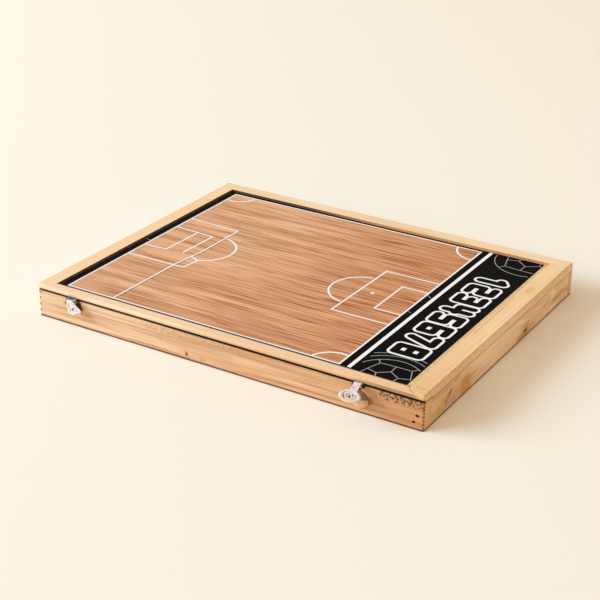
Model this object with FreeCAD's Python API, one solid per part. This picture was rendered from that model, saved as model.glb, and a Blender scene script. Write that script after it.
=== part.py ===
import FreeCAD, Part
import math
import os

# Flat wooden game case: a shallow tray with a thin framed lid.
# The lid's top carries a football pitch, its underside a draughts board,
# and the tray below holds the draughtsmen, the team discs and the ball.
# Millimetres, +X along the long side, -Y to the front, +Z up.
# The origin is the centre of the underside.

V = FreeCAD.Vector
X_AXIS = V(1, 0, 0)
Y_AXIS = V(0, 1, 0)
Z_AXIS = V(0, 0, 1)

# overall size
case_length = 460.0
case_depth = 360.0
case_height = 38.0
corner_round = 2.5
top_edge_round = 1.8
eased_edge = 0.5
cut_overrun = 5.0
match_tolerance = 0.2

# tray of the case
front_wall_thickness = 15.0
side_wall_thickness = 12.0
back_wall_thickness = 12.0
floor_thickness = 4.0
floor_rebate = 6.0
floor_fit = 0.2

# dividers in the tray
divider_thickness = 5.0
divider_top_gap = 2.0
divider_housing = 3.0
divider_fit = 0.1
bay_clearance = 2.0

# frame and panel of the lid
lid_thickness = 9.3
front_edge_thickness = 5.4
front_gap = 1.8
notch_clearance = 1.0
front_rail_width = 10.0
back_rail_width = 17.5
left_rail_width = 18.0
right_rail_width = 20.0
panel_recess = 3.2
panel_thickness = 3.0
panel_tongue = 4.0
front_panel_tongue = 3.0
panel_fit = 0.2
sheet_thickness = 0.2
sheet_fit = 0.4
print_right_margin = 7.0
board_margin = 7.75
board_squares = 8

# nails at the corners of the tray
nail_radius = 1.1
nail_head_radius = 1.5
nail_head_thickness = 0.8
nail_sink = 0.7
nail_length = 26.0
upper_nail_inset = 7.0
upper_nail_height = 15.1
lower_nail_inset = 10.2
lower_nail_height = 8.0
back_nail_inset = 6.0

# butt hinges on the back
hinge_inset = 80.0
hinge_length = 40.0
hinge_leaf_thickness = 1.0
base_leaf_height = 14.0
lid_leaf_height = 8.0
hinge_barrel_radius = 2.4
hinge_pin_radius = 1.2
hinge_stand_off = 0.3
hinge_knuckles = 5
knuckle_gap = 0.2
knuckle_side_clearance = 0.25
pin_clearance = 0.05
pin_head_thickness = 0.8
pin_head_radius = 1.8
hinge_screw_spacing = 13.0
hinge_screws_per_leaf = 3
screw_radius = 1.1
screw_head_radius = 2.0
screw_length = 8.0
screw_slot_width = 0.5
screw_slot_depth = 0.4

# clasps on the front
left_clasp_inset = 48.0
right_clasp_inset = 68.0
clasp_barrel_radius = 2.3
clasp_pin_radius = 1.0
clasp_stand_off = 0.3
clasp_axis_drop = 1.3
clasp_leaf_thickness = 0.8
clasp_leaf_reach = 6.2
clasp_end_knuckle = 2.2
clasp_screw_radius = 0.9
clasp_screw_head_radius = 1.6
clasp_screw_head_height = 0.7
clasp_screw_length = 3.0
clasp_screw_inset = 3.6
clasp_screw_spacing = 6.4

# left hasp: a fan-shaped tongue with ribs
left_knuckle_length = 7.2
left_tongue_thickness = 1.2
left_tongue_length = 14.8
left_tongue_reach = 16.2
left_tongue_left_top = 3.9
left_tongue_outline_shares = ((0.35, 0.17), (1.0, 0.57), (0.95, 0.78), (0.46, 1.0), (0.01, 0.96))
left_tongue_corner = 1.4
left_foot_bead_radius = 0.9
left_rib_radius = 0.75
left_rib_end_shares = (((-0.10, 0.31), (0.14, 0.71)), ((0.26, 0.26), (0.70, 0.61)))
left_slot_width = 3.0
left_slot_length = 3.4
left_rest_tilt = 14.0

# right hasp: a strap with an oval rosette
right_strap_width = 7.6
right_strap_thickness = 1.0
right_strap_overlap = 2.4
rosette_drop_share = 0.539
rosette_half_width = 11.4
rosette_half_height = 6.8
rosette_thickness = 1.2
rosette_ring_height = 0.7
rosette_ring_outer_shares = (0.90, 0.54)
rosette_ring_inner_shares = (0.72, 0.36)
rosette_hole_radius = 2.0
rosette_edge_round = 0.4
right_rest_tilt = 60.0

# keeper studs on the front wall
left_keeper_radius = 4.2
left_keeper_drop = 8.8
left_keeper_offset = 5.6
right_keeper_radius = 9.5
keeper_height = 4.4
keeper_flange = 0.8
keeper_nipple_radius = 1.2
keeper_nipple_height = 1.6
keeper_shank_radius = 1.3
keeper_shank_length = 9.0

# game pieces in the tray
draughtsman_width_share = 0.72
draughtsman_height = 7.5
draughtsman_rim = 3.0
draughtsman_dish = 0.8
draughtsman_gap = 2.0
draughtsman_rows = 4
draughtsman_columns = 3
team_disc_radius = 11.5
team_disc_height = 5.0
team_disc_dish = 0.6
team_disc_rim = 2.4
team_disc_gap = 2.0
team_size = 5
team_row_offset = 4.0
ball_radius = 6.0
ball_flat = 0.5
piece_edge_round = 0.8

# positions that follow from the sizes above
half_length = case_length / 2
half_depth = case_depth / 2
side_wall_height = case_height - lid_thickness
lid_front_z = case_height - front_edge_thickness
front_wall_height = lid_front_z - front_gap
front_y = -half_depth
back_y = half_depth
inner_front_y = front_y + front_wall_thickness
inner_back_y = back_y - back_wall_thickness
inner_x = half_length - side_wall_thickness
sheet_top_z = case_height - panel_recess
panel_top_z = sheet_top_z - sheet_thickness
panel_low_z = panel_top_z - panel_thickness
window_left = -half_length + left_rail_width
window_right = half_length - right_rail_width
window_front = front_y + front_rail_width
window_back = back_y - back_rail_width
board_side = window_back - inner_front_y - 2 * board_margin
draughtsman_radius = board_side / board_squares * draughtsman_width_share / 2
draughtsman_pitch = 2 * draughtsman_radius + draughtsman_gap
bay_width = draughtsman_columns * draughtsman_pitch + 2 * bay_clearance
bay_depth = draughtsman_rows * draughtsman_pitch + 2 * bay_clearance
bay_x = inner_x - bay_width / 2
bay_y = inner_back_y - bay_depth / 2
cross_divider_x = inner_x - bay_width - divider_thickness / 2
long_divider_y = inner_back_y - bay_depth - divider_thickness / 2
hinge_x = half_length - hinge_inset
left_clasp_x = -half_length + left_clasp_inset
right_clasp_x = half_length - right_clasp_inset
left_keeper_x = left_clasp_x + left_keeper_offset
hinge_axis_y = back_y + hinge_stand_off + hinge_barrel_radius
hinge_axis_z = side_wall_height
clasp_axis_y = front_y - clasp_stand_off - clasp_barrel_radius
clasp_axis_z = lid_front_z - clasp_axis_drop
rosette_centre = front_wall_height * rosette_drop_share


def box(x0, x1, y0, y1, z0, z1):
    return Part.makeBox(x1 - x0, y1 - y0, z1 - z0, V(x0, y0, z0))


def prism(points, z0, z1):
    wire = Part.makePolygon([V(x, y, z0) for x, y in points + points[:1]])
    return Part.Face(wire).extrude(V(0, 0, z1 - z0))


def fuse(shapes):
    solid = shapes[0]
    for other in shapes[1:]:
        solid = solid.fuse(other)
    return solid.removeSplitter()


def cut(shape, tools):
    for tool in tools:
        shape = shape.cut(tool)
    return shape


def rod_x(x0, x1, y, z, radius):
    return Part.makeCylinder(radius, x1 - x0, V(x0, y, z), X_AXIS)


def rod_y(x, y0, y1, z, radius):
    return Part.makeCylinder(radius, y1 - y0, V(x, y0, z), Y_AXIS)


def is_upright(edge):
    first = edge.Vertexes[0].Point
    last = edge.Vertexes[-1].Point
    return math.hypot(first.x - last.x, first.y - last.y) < match_tolerance


def is_level(edge, z):
    reach = edge.BoundBox
    return abs(reach.ZMin - z) < match_tolerance and abs(reach.ZMax - z) < match_tolerance


def rounded_block(z0, z1):
    block = box(-half_length, half_length, front_y, back_y, z0, z1)
    return block.makeFillet(corner_round, [e for e in block.Edges if is_upright(e)])


def round_level_edges(block, z, radius):
    return block.makeFillet(radius, [e for e in block.Edges if is_level(e, z)])


def save(name, shape):
    shape.exportStep(os.path.join("parts", name + ".step"))


# tray

def floor_box(fit, low):
    return box(-inner_x - floor_rebate + fit, inner_x + floor_rebate - fit,
               inner_front_y - floor_rebate + fit, inner_back_y + floor_rebate - fit,
               low, floor_thickness)


def tray_walls():
    low = round_level_edges(rounded_block(0, side_wall_height), side_wall_height, eased_edge)
    low = round_level_edges(low, 0, eased_edge)
    high = round_level_edges(rounded_block(0, front_wall_height), front_wall_height, eased_edge)
    high = round_level_edges(high, 0, eased_edge)
    reach_x = half_length + cut_overrun
    reach_y = half_depth + cut_overrun
    top = front_wall_height + cut_overrun
    front = high.common(box(-reach_x, reach_x, -reach_y, inner_front_y, -cut_overrun, top))
    back = low.common(box(-reach_x, reach_x, inner_back_y, reach_y, -cut_overrun, top))
    left = low.common(box(-reach_x, -inner_x, inner_front_y, inner_back_y, -cut_overrun, top))
    right = low.common(box(inner_x, reach_x, inner_front_y, inner_back_y, -cut_overrun, top))
    seat = floor_box(0, -cut_overrun)
    return {"base_front_wall": front.cut(seat),
            "base_back_wall": back.cut(seat),
            "base_left_wall": left.cut(seat),
            "base_right_wall": right.cut(seat)}


def divider_plan(fit):
    half = divider_thickness / 2 - fit
    top = side_wall_height - divider_top_gap
    low = floor_thickness
    long_one = box(-inner_x - divider_housing + fit, inner_x + divider_housing - fit,
                   long_divider_y - half, long_divider_y + half, low, top)
    cross_front = long_divider_y + divider_thickness / 2 - divider_housing / 2 + fit
    cross_back = inner_back_y + divider_housing - fit
    cross = [box(x - half, x + half, cross_front, cross_back, low, top)
             for x in (-cross_divider_x, cross_divider_x)]
    return long_one, cross[0], cross[1]


def nail(x, y, z, inward):
    head = nail_head_thickness
    lay = V(0, inward, 0)
    start = V(x, y, z) + lay * nail_sink
    shank_start = start + lay * head
    return fuse([Part.makeCylinder(nail_head_radius, head, start, lay),
                 Part.makeCylinder(nail_radius, nail_length - head, shank_start, lay)])


def nail_well(x, y, z, inward):
    lay = V(0, inward, 0)
    mouth = V(x, y, z) - lay * cut_overrun
    return Part.makeCylinder(nail_head_radius, cut_overrun + nail_sink, mouth, lay)


def nail_places():
    places = []
    for side in (-1, 1):
        places.append((side * (half_length - upper_nail_inset), front_y, upper_nail_height, 1))
        places.append((side * (half_length - lower_nail_inset), front_y, lower_nail_height, 1))
        places.append((side * (half_length - back_nail_inset), back_y, upper_nail_height, -1))
        places.append((side * (half_length - back_nail_inset), back_y, lower_nail_height, -1))
    return places


# lid

def lid_frame():
    block = rounded_block(side_wall_height, case_height)
    block = round_level_edges(block, case_height, top_edge_round)
    block = round_level_edges(block, side_wall_height, eased_edge)
    reach_x = half_length + cut_overrun
    notch = box(-reach_x, reach_x, front_y - cut_overrun, inner_front_y + notch_clearance,
                side_wall_height - cut_overrun, lid_front_z)
    window = box(window_left, window_right, window_front, window_back,
                 side_wall_height - cut_overrun, case_height + cut_overrun)
    return cut(block, [notch, window, panel_box(0)])


def panel_box(fit):
    return box(window_left - panel_tongue + fit, window_right + panel_tongue - fit,
               window_front - front_panel_tongue + fit, window_back + panel_tongue - fit,
               panel_low_z, panel_top_z)


def mitre_wedge(inner_y, outward, width):
    # plan of one long rail: its ends run out at 45 degrees from the corners of the window
    run = width + cut_overrun
    outer_y = inner_y + outward * run
    points = [(window_left, inner_y), (window_right, inner_y),
              (window_right + run, outer_y), (window_left - run, outer_y)]
    return prism(points, 0, case_height + cut_overrun)


def lid_rails():
    frame = lid_frame()
    front_wedge = mitre_wedge(window_front, -1, front_rail_width)
    back_wedge = mitre_wedge(window_back, 1, back_rail_width)
    reach_x = half_length + cut_overrun
    reach_y = half_depth + cut_overrun
    left_half = box(-reach_x, window_left, -reach_y, reach_y, 0, case_height + cut_overrun)
    right_half = box(window_right, reach_x, -reach_y, reach_y, 0, case_height + cut_overrun)
    wedges = [front_wedge, back_wedge]
    return {"lid_front_rail": frame.common(front_wedge),
            "lid_back_rail": frame.common(back_wedge),
            "lid_left_rail": cut(frame.common(left_half), wedges),
            "lid_right_rail": cut(frame.common(right_half), wedges)}


def pitch_sheet():
    return box(window_left + sheet_fit, window_right - print_right_margin,
               window_front + sheet_fit, window_back - sheet_fit, panel_top_z, sheet_top_z)


def draughts_board_sheet():
    half = board_side / 2
    middle_x = (window_left + window_right) / 2
    middle_y = (inner_front_y + window_back) / 2
    return box(middle_x - half, middle_x + half, middle_y - half, middle_y + half,
               panel_low_z - sheet_thickness, panel_low_z)


# hinges

def knuckle_spans(middle, length, count):
    pitch = (length + knuckle_gap) / count
    start = middle - length / 2
    return [(start + i * pitch, start + (i + 1) * pitch - knuckle_gap) for i in range(count)]


def hinge_leaf(middle, belongs_to_lid):
    # the lid's leaf owns every second knuckle, the tray's leaf the others
    spans = knuckle_spans(middle, hinge_length, hinge_knuckles)
    half_gap = knuckle_gap / 2
    if belongs_to_lid:
        own = spans[1::2]
        other = spans[0::2]
        near_z = hinge_axis_z + half_gap
        far_z = hinge_axis_z + lid_leaf_height
        web_z = near_z + hinge_leaf_thickness
    else:
        own = spans[0::2]
        other = spans[1::2]
        near_z = hinge_axis_z - half_gap
        far_z = hinge_axis_z - base_leaf_height
        web_z = near_z - hinge_leaf_thickness
    x0 = middle - hinge_length / 2
    x1 = middle + hinge_length / 2
    plate = box(x0, x1, back_y, back_y + hinge_leaf_thickness, min(near_z, far_z), max(near_z, far_z))
    # a short web joins each own knuckle to the plate
    webs = [box(a, b, back_y, hinge_axis_y, min(near_z, web_z), max(near_z, web_z)) for a, b in own]
    rolls = [rod_x(a, b, hinge_axis_y, hinge_axis_z, hinge_barrel_radius) for a, b in own]
    swept = hinge_barrel_radius + knuckle_side_clearance
    clear = [rod_x(a - knuckle_gap, b + knuckle_gap, hinge_axis_y, hinge_axis_z, swept)
             for a, b in other]
    leaf = fuse([cut(fuse([plate] + webs), clear)] + rolls)
    bore_radius = hinge_pin_radius + pin_clearance
    return leaf.cut(rod_x(x0 - cut_overrun, x1 + cut_overrun, hinge_axis_y, hinge_axis_z, bore_radius))


def hinge_pin(middle):
    x0 = middle - hinge_length / 2 - knuckle_gap
    x1 = middle + hinge_length / 2 + knuckle_gap
    head = pin_head_thickness
    return fuse([rod_x(x0, x1, hinge_axis_y, hinge_axis_z, hinge_pin_radius),
                 rod_x(x0 - head, x0, hinge_axis_y, hinge_axis_z, pin_head_radius),
                 rod_x(x1, x1 + head, hinge_axis_y, hinge_axis_z, pin_head_radius)])


def hinge_screw(x, z):
    # countersunk head flush with the leaf, pointing into the wood
    face = V(x, back_y + hinge_leaf_thickness, z)
    inward = V(0, -1, 0)
    head = Part.makeCone(screw_head_radius, screw_radius, hinge_leaf_thickness, face, inward)
    shank = Part.makeCylinder(screw_radius, screw_length, V(x, back_y, z), inward)
    return fuse([head, shank])


def screw_slot(x, z):
    half = screw_slot_width / 2
    face = back_y + hinge_leaf_thickness
    return box(x - screw_head_radius, x + screw_head_radius,
               face - screw_slot_depth, face + cut_overrun, z - half, z + half)


def screw_places(z):
    first = -(hinge_screws_per_leaf - 1) / 2
    return [(side * hinge_x + (first + i) * hinge_screw_spacing, z)
            for side in (-1, 1) for i in range(hinge_screws_per_leaf)]


# clasps

def clasp_spans(middle, knuckle):
    half = knuckle / 2
    inner = half + knuckle_gap
    outer = inner + clasp_end_knuckle
    left = (middle - outer, middle - inner)
    right = (middle + inner, middle + outer)
    return left, (middle - half, middle + half), right


def clasp_bore(x0, x1):
    return rod_x(x0 - cut_overrun, x1 + cut_overrun, clasp_axis_y, clasp_axis_z,
                 clasp_pin_radius + pin_clearance)


def clasp_bracket(middle, knuckle):
    left, centre, right = clasp_spans(middle, knuckle)
    plate = box(left[0], right[1], clasp_axis_y, front_y + clasp_leaf_reach,
                lid_front_z - clasp_leaf_thickness, lid_front_z)
    swept = clasp_barrel_radius + knuckle_side_clearance
    clear = rod_x(centre[0] - knuckle_gap, centre[1] + knuckle_gap, clasp_axis_y, clasp_axis_z, swept)
    rolls = [rod_x(a, b, clasp_axis_y, clasp_axis_z, clasp_barrel_radius) for a, b in (left, right)]
    return fuse([plate.cut(clear)] + rolls).cut(clasp_bore(left[0], right[1]))


def clasp_pin(middle, knuckle):
    left, centre, right = clasp_spans(middle, knuckle)
    return rod_x(left[0], right[1], clasp_axis_y, clasp_axis_z, clasp_pin_radius)


def clasp_screw(x):
    # driven upwards through the bracket into the lid's front rail
    start = V(x, front_y + clasp_screw_inset, lid_front_z - clasp_leaf_thickness)
    length = clasp_leaf_thickness + clasp_screw_length
    head = Part.makeCone(clasp_screw_head_radius, clasp_screw_radius, clasp_screw_head_height, start, Z_AXIS)
    return fuse([head, Part.makeCylinder(clasp_screw_radius, length, start, Z_AXIS)])


def clasp_screw_places(middle):
    return [middle + side * clasp_screw_spacing / 2 for side in (-1, 1)]


def swing(shape, degrees):
    turned = shape.copy()
    turned.rotate(V(0, clasp_axis_y, clasp_axis_z), X_AXIS, -degrees)
    return turned


def hasp_knuckle(middle, knuckle):
    x0, x1 = clasp_spans(middle, knuckle)[1]
    roll = rod_x(x0, x1, clasp_axis_y, clasp_axis_z, clasp_barrel_radius)
    return roll.cut(clasp_bore(x0, x1))


def front_plate(points, thickness, corner):
    # flat plate hanging in front of the barrel, outline given in x and depth below the axis
    face_y = clasp_axis_y - clasp_barrel_radius - knuckle_gap
    corners = [V(x, face_y, clasp_axis_z - drop) for x, drop in points]
    plate = Part.Face(Part.makePolygon(corners + corners[:1])).extrude(V(0, -thickness, 0))
    middle_z = clasp_axis_z - max(drop for x, drop in points) / 2
    through = [e for e in plate.Edges if e.BoundBox.YLength > thickness / 2]
    feet = [e for e in through if e.BoundBox.ZMax < middle_z]
    return plate.makeFillet(corner, feet)


def bar(points, radius):
    # a round bar along a chain of points, with round bends and ends
    pieces = [Part.makeSphere(radius, p) for p in points]
    for a, b in zip(points, points[1:]):
        pieces.append(Part.makeCylinder(radius, (b - a).Length, a, b - a))
    return pieces


def left_tongue():
    x = left_clasp_x
    half = left_knuckle_length / 2
    shoulder = clasp_barrel_radius + knuckle_gap
    outline = [(x + across * left_tongue_reach, down * left_tongue_length)
               for across, down in left_tongue_outline_shares]
    plate = front_plate([(x - half, 0), (x + half, 0)] + outline + [(x - left_tongue_left_top, shoulder)],
                        left_tongue_thickness, left_tongue_corner)
    face_y = clasp_axis_y - clasp_barrel_radius - knuckle_gap - left_tongue_thickness
    # the bead follows the foot of the fan, one bead's width above its edge
    foot = [V(px, face_y, clasp_axis_z - drop + 1.5 * left_foot_bead_radius) for px, drop in outline[2:]]
    foot[0].x -= left_tongue_corner
    foot[-1].x += left_tongue_corner
    bead = bar(foot, left_foot_bead_radius)
    ribs = []
    for ends in left_rib_end_shares:
        places = [V(x + across * left_tongue_reach, face_y, clasp_axis_z - down * left_tongue_length)
                  for across, down in ends]
        ribs += bar(places, left_rib_radius)
    # a saddle joins the plate to the front of the knuckle, which is cut out of it
    web = box(x - half, x + half, face_y, clasp_axis_y - clasp_pin_radius - left_tongue_thickness / 2,
              clasp_axis_z - clasp_pin_radius, clasp_axis_z)
    roll = rod_x(x - half - knuckle_gap, x + half + knuckle_gap,
                 clasp_axis_y, clasp_axis_z, clasp_barrel_radius)
    slot_half = left_slot_width / 2
    slot_z = clasp_axis_z - left_keeper_drop
    slot = box(left_keeper_x - slot_half, left_keeper_x + slot_half, face_y - cut_overrun, clasp_axis_y,
               slot_z - left_slot_length / 2, slot_z + left_slot_length / 2)
    return cut(fuse([plate, web] + bead + ribs), [roll, slot])


def ellipse_plate(y, thickness, share):
    wide = rosette_half_width * share
    tall = rosette_half_height * share
    edge = Part.Ellipse(V(0, 0, 0), wide, tall).toShape()
    plate = Part.Face(Part.Wire([edge])).extrude(V(0, 0, thickness))
    plate.rotate(V(0, 0, 0), X_AXIS, 90)
    plate.translate(V(right_clasp_x, y, clasp_axis_z - rosette_centre))
    return plate


def right_face_y():
    return clasp_axis_y - clasp_barrel_radius - knuckle_gap - right_strap_thickness


def rosette_hole():
    front = right_face_y() - cut_overrun
    return rod_y(right_clasp_x, front, clasp_axis_y, clasp_axis_z - rosette_centre, rosette_hole_radius)


def right_strap():
    x = right_clasp_x
    half = right_strap_width / 2
    length = rosette_centre + right_strap_overlap
    plate = front_plate([(x - half, 0), (x + half, 0), (x + half, length), (x - half, length)],
                        right_strap_thickness, half / 2)
    web = box(x - half, x + half, right_face_y(), clasp_axis_y - clasp_pin_radius - pin_clearance,
              clasp_axis_z - clasp_pin_radius, clasp_axis_z)
    knuckle = hasp_knuckle(x, right_strap_width)
    return cut(fuse([plate, web, knuckle]), [clasp_bore(x - half, x + half), rosette_hole()])


def right_rosette():
    face = right_face_y()
    base = ellipse_plate(face, rosette_thickness, 1)
    rim = [e for e in base.Edges if e.BoundBox.YMax < face - rosette_thickness / 2]
    base = base.makeFillet(rosette_edge_round, rim)
    front = face - rosette_thickness
    pieces = [base]
    for outer, inner in zip(rosette_ring_outer_shares, rosette_ring_inner_shares):
        ring = ellipse_plate(front, rosette_ring_height, outer)
        middle = ellipse_plate(front + cut_overrun, rosette_ring_height + 2 * cut_overrun, inner)
        pieces.append(ring.cut(middle))
    return fuse(pieces).cut(rosette_hole())


def keeper_stud(x, drop, radius):
    # a domed cap on a thin flange, with a nipple for the hasp's hole and a shank in the wood
    z = clasp_axis_z - drop
    top_y = front_y - keeper_height
    flange_y = front_y - keeper_flange
    rise = keeper_height - keeper_flange
    sphere_radius = (radius * radius + rise * rise) / (2 * rise)
    cap = Part.makeSphere(sphere_radius, V(x, top_y + sphere_radius, z))
    dome = cap.common(rod_y(x, top_y - cut_overrun, flange_y, z, radius))
    flange = rod_y(x, flange_y, front_y, z, radius)
    nipple = rod_y(x, top_y - keeper_nipple_height, flange_y, z, keeper_nipple_radius)
    return fuse([dome, flange, nipple, keeper_shank(x, drop)])


def keeper_shank(x, drop):
    return rod_y(x, front_y, front_y + keeper_shank_length, clasp_axis_z - drop, keeper_shank_radius)


# game pieces

def dished_disc(x, y, radius, height, rim, dish):
    disc = Part.makeCylinder(radius, height, V(x, y, floor_thickness), Z_AXIS)
    rims = [e for e in disc.Edges if e.Length > radius * math.pi]
    disc = disc.makeFillet(piece_edge_round, rims)
    bottom = V(x, y, floor_thickness + height - dish)
    return disc.cut(Part.makeCylinder(radius - rim, dish + cut_overrun, bottom, Z_AXIS))


def draughtsmen(side):
    pieces = []
    for row in range(draughtsman_rows):
        for column in range(draughtsman_columns):
            x = side * bay_x + (column - (draughtsman_columns - 1) / 2) * draughtsman_pitch
            y = bay_y + (row - (draughtsman_rows - 1) / 2) * draughtsman_pitch
            pieces.append(dished_disc(x, y, draughtsman_radius, draughtsman_height,
                                      draughtsman_rim, draughtsman_dish))
    return Part.makeCompound(pieces)


def team_discs(row):
    pitch = 2 * team_disc_radius + team_disc_gap
    y = bay_y + row * pitch / 2 - team_row_offset
    xs = [(i - (team_size - 1) / 2) * pitch for i in range(team_size)]
    return Part.makeCompound([dished_disc(x, y, team_disc_radius, team_disc_height,
                                          team_disc_rim, team_disc_dish) for x in xs])


def ball():
    # a small flat keeps the ball from rolling in the tray
    y = inner_back_y - 2 * ball_radius
    solid = Part.makeSphere(ball_radius, V(0, y, floor_thickness + ball_radius - ball_flat))
    below = box(-ball_radius, ball_radius, y - ball_radius, y + ball_radius, 0, floor_thickness)
    return solid.cut(below)


def build():
    nodes = {}
    walls = tray_walls()
    rails = lid_rails()
    dividers = divider_plan(divider_fit)
    housings = divider_plan(0)
    nails = [nail(*place) for place in nail_places()]
    wells = [nail_well(*place) for place in nail_places()]
    base_screw_z = hinge_axis_z - base_leaf_height / 2 - hinge_barrel_radius / 2
    lid_screw_z = hinge_axis_z + (lid_leaf_height + hinge_barrel_radius) / 2
    base_screws = [hinge_screw(x, z) for x, z in screw_places(base_screw_z)]
    lid_screws = [hinge_screw(x, z) for x, z in screw_places(lid_screw_z)]
    clasps = ((left_clasp_x, left_knuckle_length), (right_clasp_x, right_strap_width))
    clasp_screws = [clasp_screw(x) for middle, knuckle in clasps for x in clasp_screw_places(middle)]
    shanks = [keeper_shank(left_keeper_x, left_keeper_drop), keeper_shank(right_clasp_x, rosette_centre)]

    for name, wall in walls.items():
        nodes[name] = cut(wall, nails + wells + base_screws + shanks + list(housings))
    nodes["base_floor_panel"] = floor_box(floor_fit, 0)
    nodes["tray_long_divider"] = cut(dividers[0], housings[1:])
    nodes["tray_left_divider"] = dividers[1]
    nodes["tray_right_divider"] = dividers[2]
    nodes["corner_nails"] = Part.makeCompound(nails)
    nodes["left_keeper_stud"] = keeper_stud(left_keeper_x, left_keeper_drop, left_keeper_radius)
    nodes["right_keeper_stud"] = keeper_stud(right_clasp_x, rosette_centre, right_keeper_radius)

    for name, rail in rails.items():
        nodes[name] = cut(rail, lid_screws + clasp_screws)
    nodes["lid_panel"] = panel_box(panel_fit)
    nodes["pitch_sheet"] = pitch_sheet()
    nodes["draughts_board_sheet"] = draughts_board_sheet()

    for side, word in ((-1, "left"), (1, "right")):
        middle = side * hinge_x
        nodes[word + "_hinge_base_leaf"] = cut(hinge_leaf(middle, False), base_screws)
        nodes[word + "_hinge_lid_leaf"] = cut(hinge_leaf(middle, True), lid_screws)
        nodes[word + "_hinge_pin"] = hinge_pin(middle)
    slots = [screw_slot(x, z) for x, z in screw_places(base_screw_z) + screw_places(lid_screw_z)]
    nodes["base_hinge_screws"] = Part.makeCompound([cut(s, slots) for s in base_screws])
    nodes["lid_hinge_screws"] = Part.makeCompound([cut(s, slots) for s in lid_screws])

    for word, (middle, knuckle) in zip(("left", "right"), clasps):
        nodes[word + "_clasp_bracket"] = cut(clasp_bracket(middle, knuckle), clasp_screws)
        nodes[word + "_clasp_pin"] = clasp_pin(middle, knuckle)
    nodes["clasp_screws"] = Part.makeCompound(clasp_screws)
    nodes["left_hasp_knuckle"] = swing(hasp_knuckle(left_clasp_x, left_knuckle_length), left_rest_tilt)
    nodes["left_hasp_tongue"] = swing(left_tongue(), left_rest_tilt)
    nodes["right_hasp_strap"] = swing(right_strap(), right_rest_tilt)
    nodes["right_hasp_rosette"] = swing(right_rosette(), right_rest_tilt)

    nodes["light_draughtsmen"] = draughtsmen(-1)
    nodes["dark_draughtsmen"] = draughtsmen(1)
    nodes["home_team_discs"] = team_discs(-1)
    nodes["away_team_discs"] = team_discs(1)
    nodes["ball"] = ball()
    return nodes


os.makedirs("parts", exist_ok=True)
for node_name, node_shape in build().items():
    save(node_name, node_shape)
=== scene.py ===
# %% [markdown]
# # A wooden football game case
# The object is a flat pine case, 460 mm long, with a thin framed lid. The lid carries a printed
# football pitch; two small clasps close it at the front. The packed model already has every
# board, hinge and clasp at its true size, so this script only dresses it: finishes for the
# surfaces, printed lines on the pitch, turned playing pieces in the tray, and a small studio.

# %% Load the packed model
import math
from functools import cached_property

import bmesh
import bpy
from mathutils import Matrix, Vector


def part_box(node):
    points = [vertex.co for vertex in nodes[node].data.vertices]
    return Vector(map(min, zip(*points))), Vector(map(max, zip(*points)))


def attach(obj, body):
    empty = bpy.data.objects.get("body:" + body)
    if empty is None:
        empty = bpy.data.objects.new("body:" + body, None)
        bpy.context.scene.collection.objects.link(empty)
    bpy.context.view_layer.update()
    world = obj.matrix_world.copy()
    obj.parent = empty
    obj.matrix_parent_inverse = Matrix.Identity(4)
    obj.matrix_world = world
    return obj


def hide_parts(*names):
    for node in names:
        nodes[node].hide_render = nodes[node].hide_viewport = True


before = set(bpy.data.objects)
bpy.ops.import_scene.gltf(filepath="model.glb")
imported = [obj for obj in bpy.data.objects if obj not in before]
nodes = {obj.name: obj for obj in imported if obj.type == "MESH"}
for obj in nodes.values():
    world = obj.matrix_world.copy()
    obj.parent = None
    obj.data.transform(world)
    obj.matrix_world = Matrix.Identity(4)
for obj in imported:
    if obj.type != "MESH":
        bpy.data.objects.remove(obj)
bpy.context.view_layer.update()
scene = bpy.context.scene
MM = 0.001

# %% [markdown]
# A finish is a network of nodes. Adding nodes by hand takes several lines each, so a small class
# comes first: `put` adds any node, `feed` fills a socket with a number or with a link, and the
# rest are the sums and textures that the finishes need. Shader groups and Geometry Nodes are
# trees of nodes too, so the same calls build them all.

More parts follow.
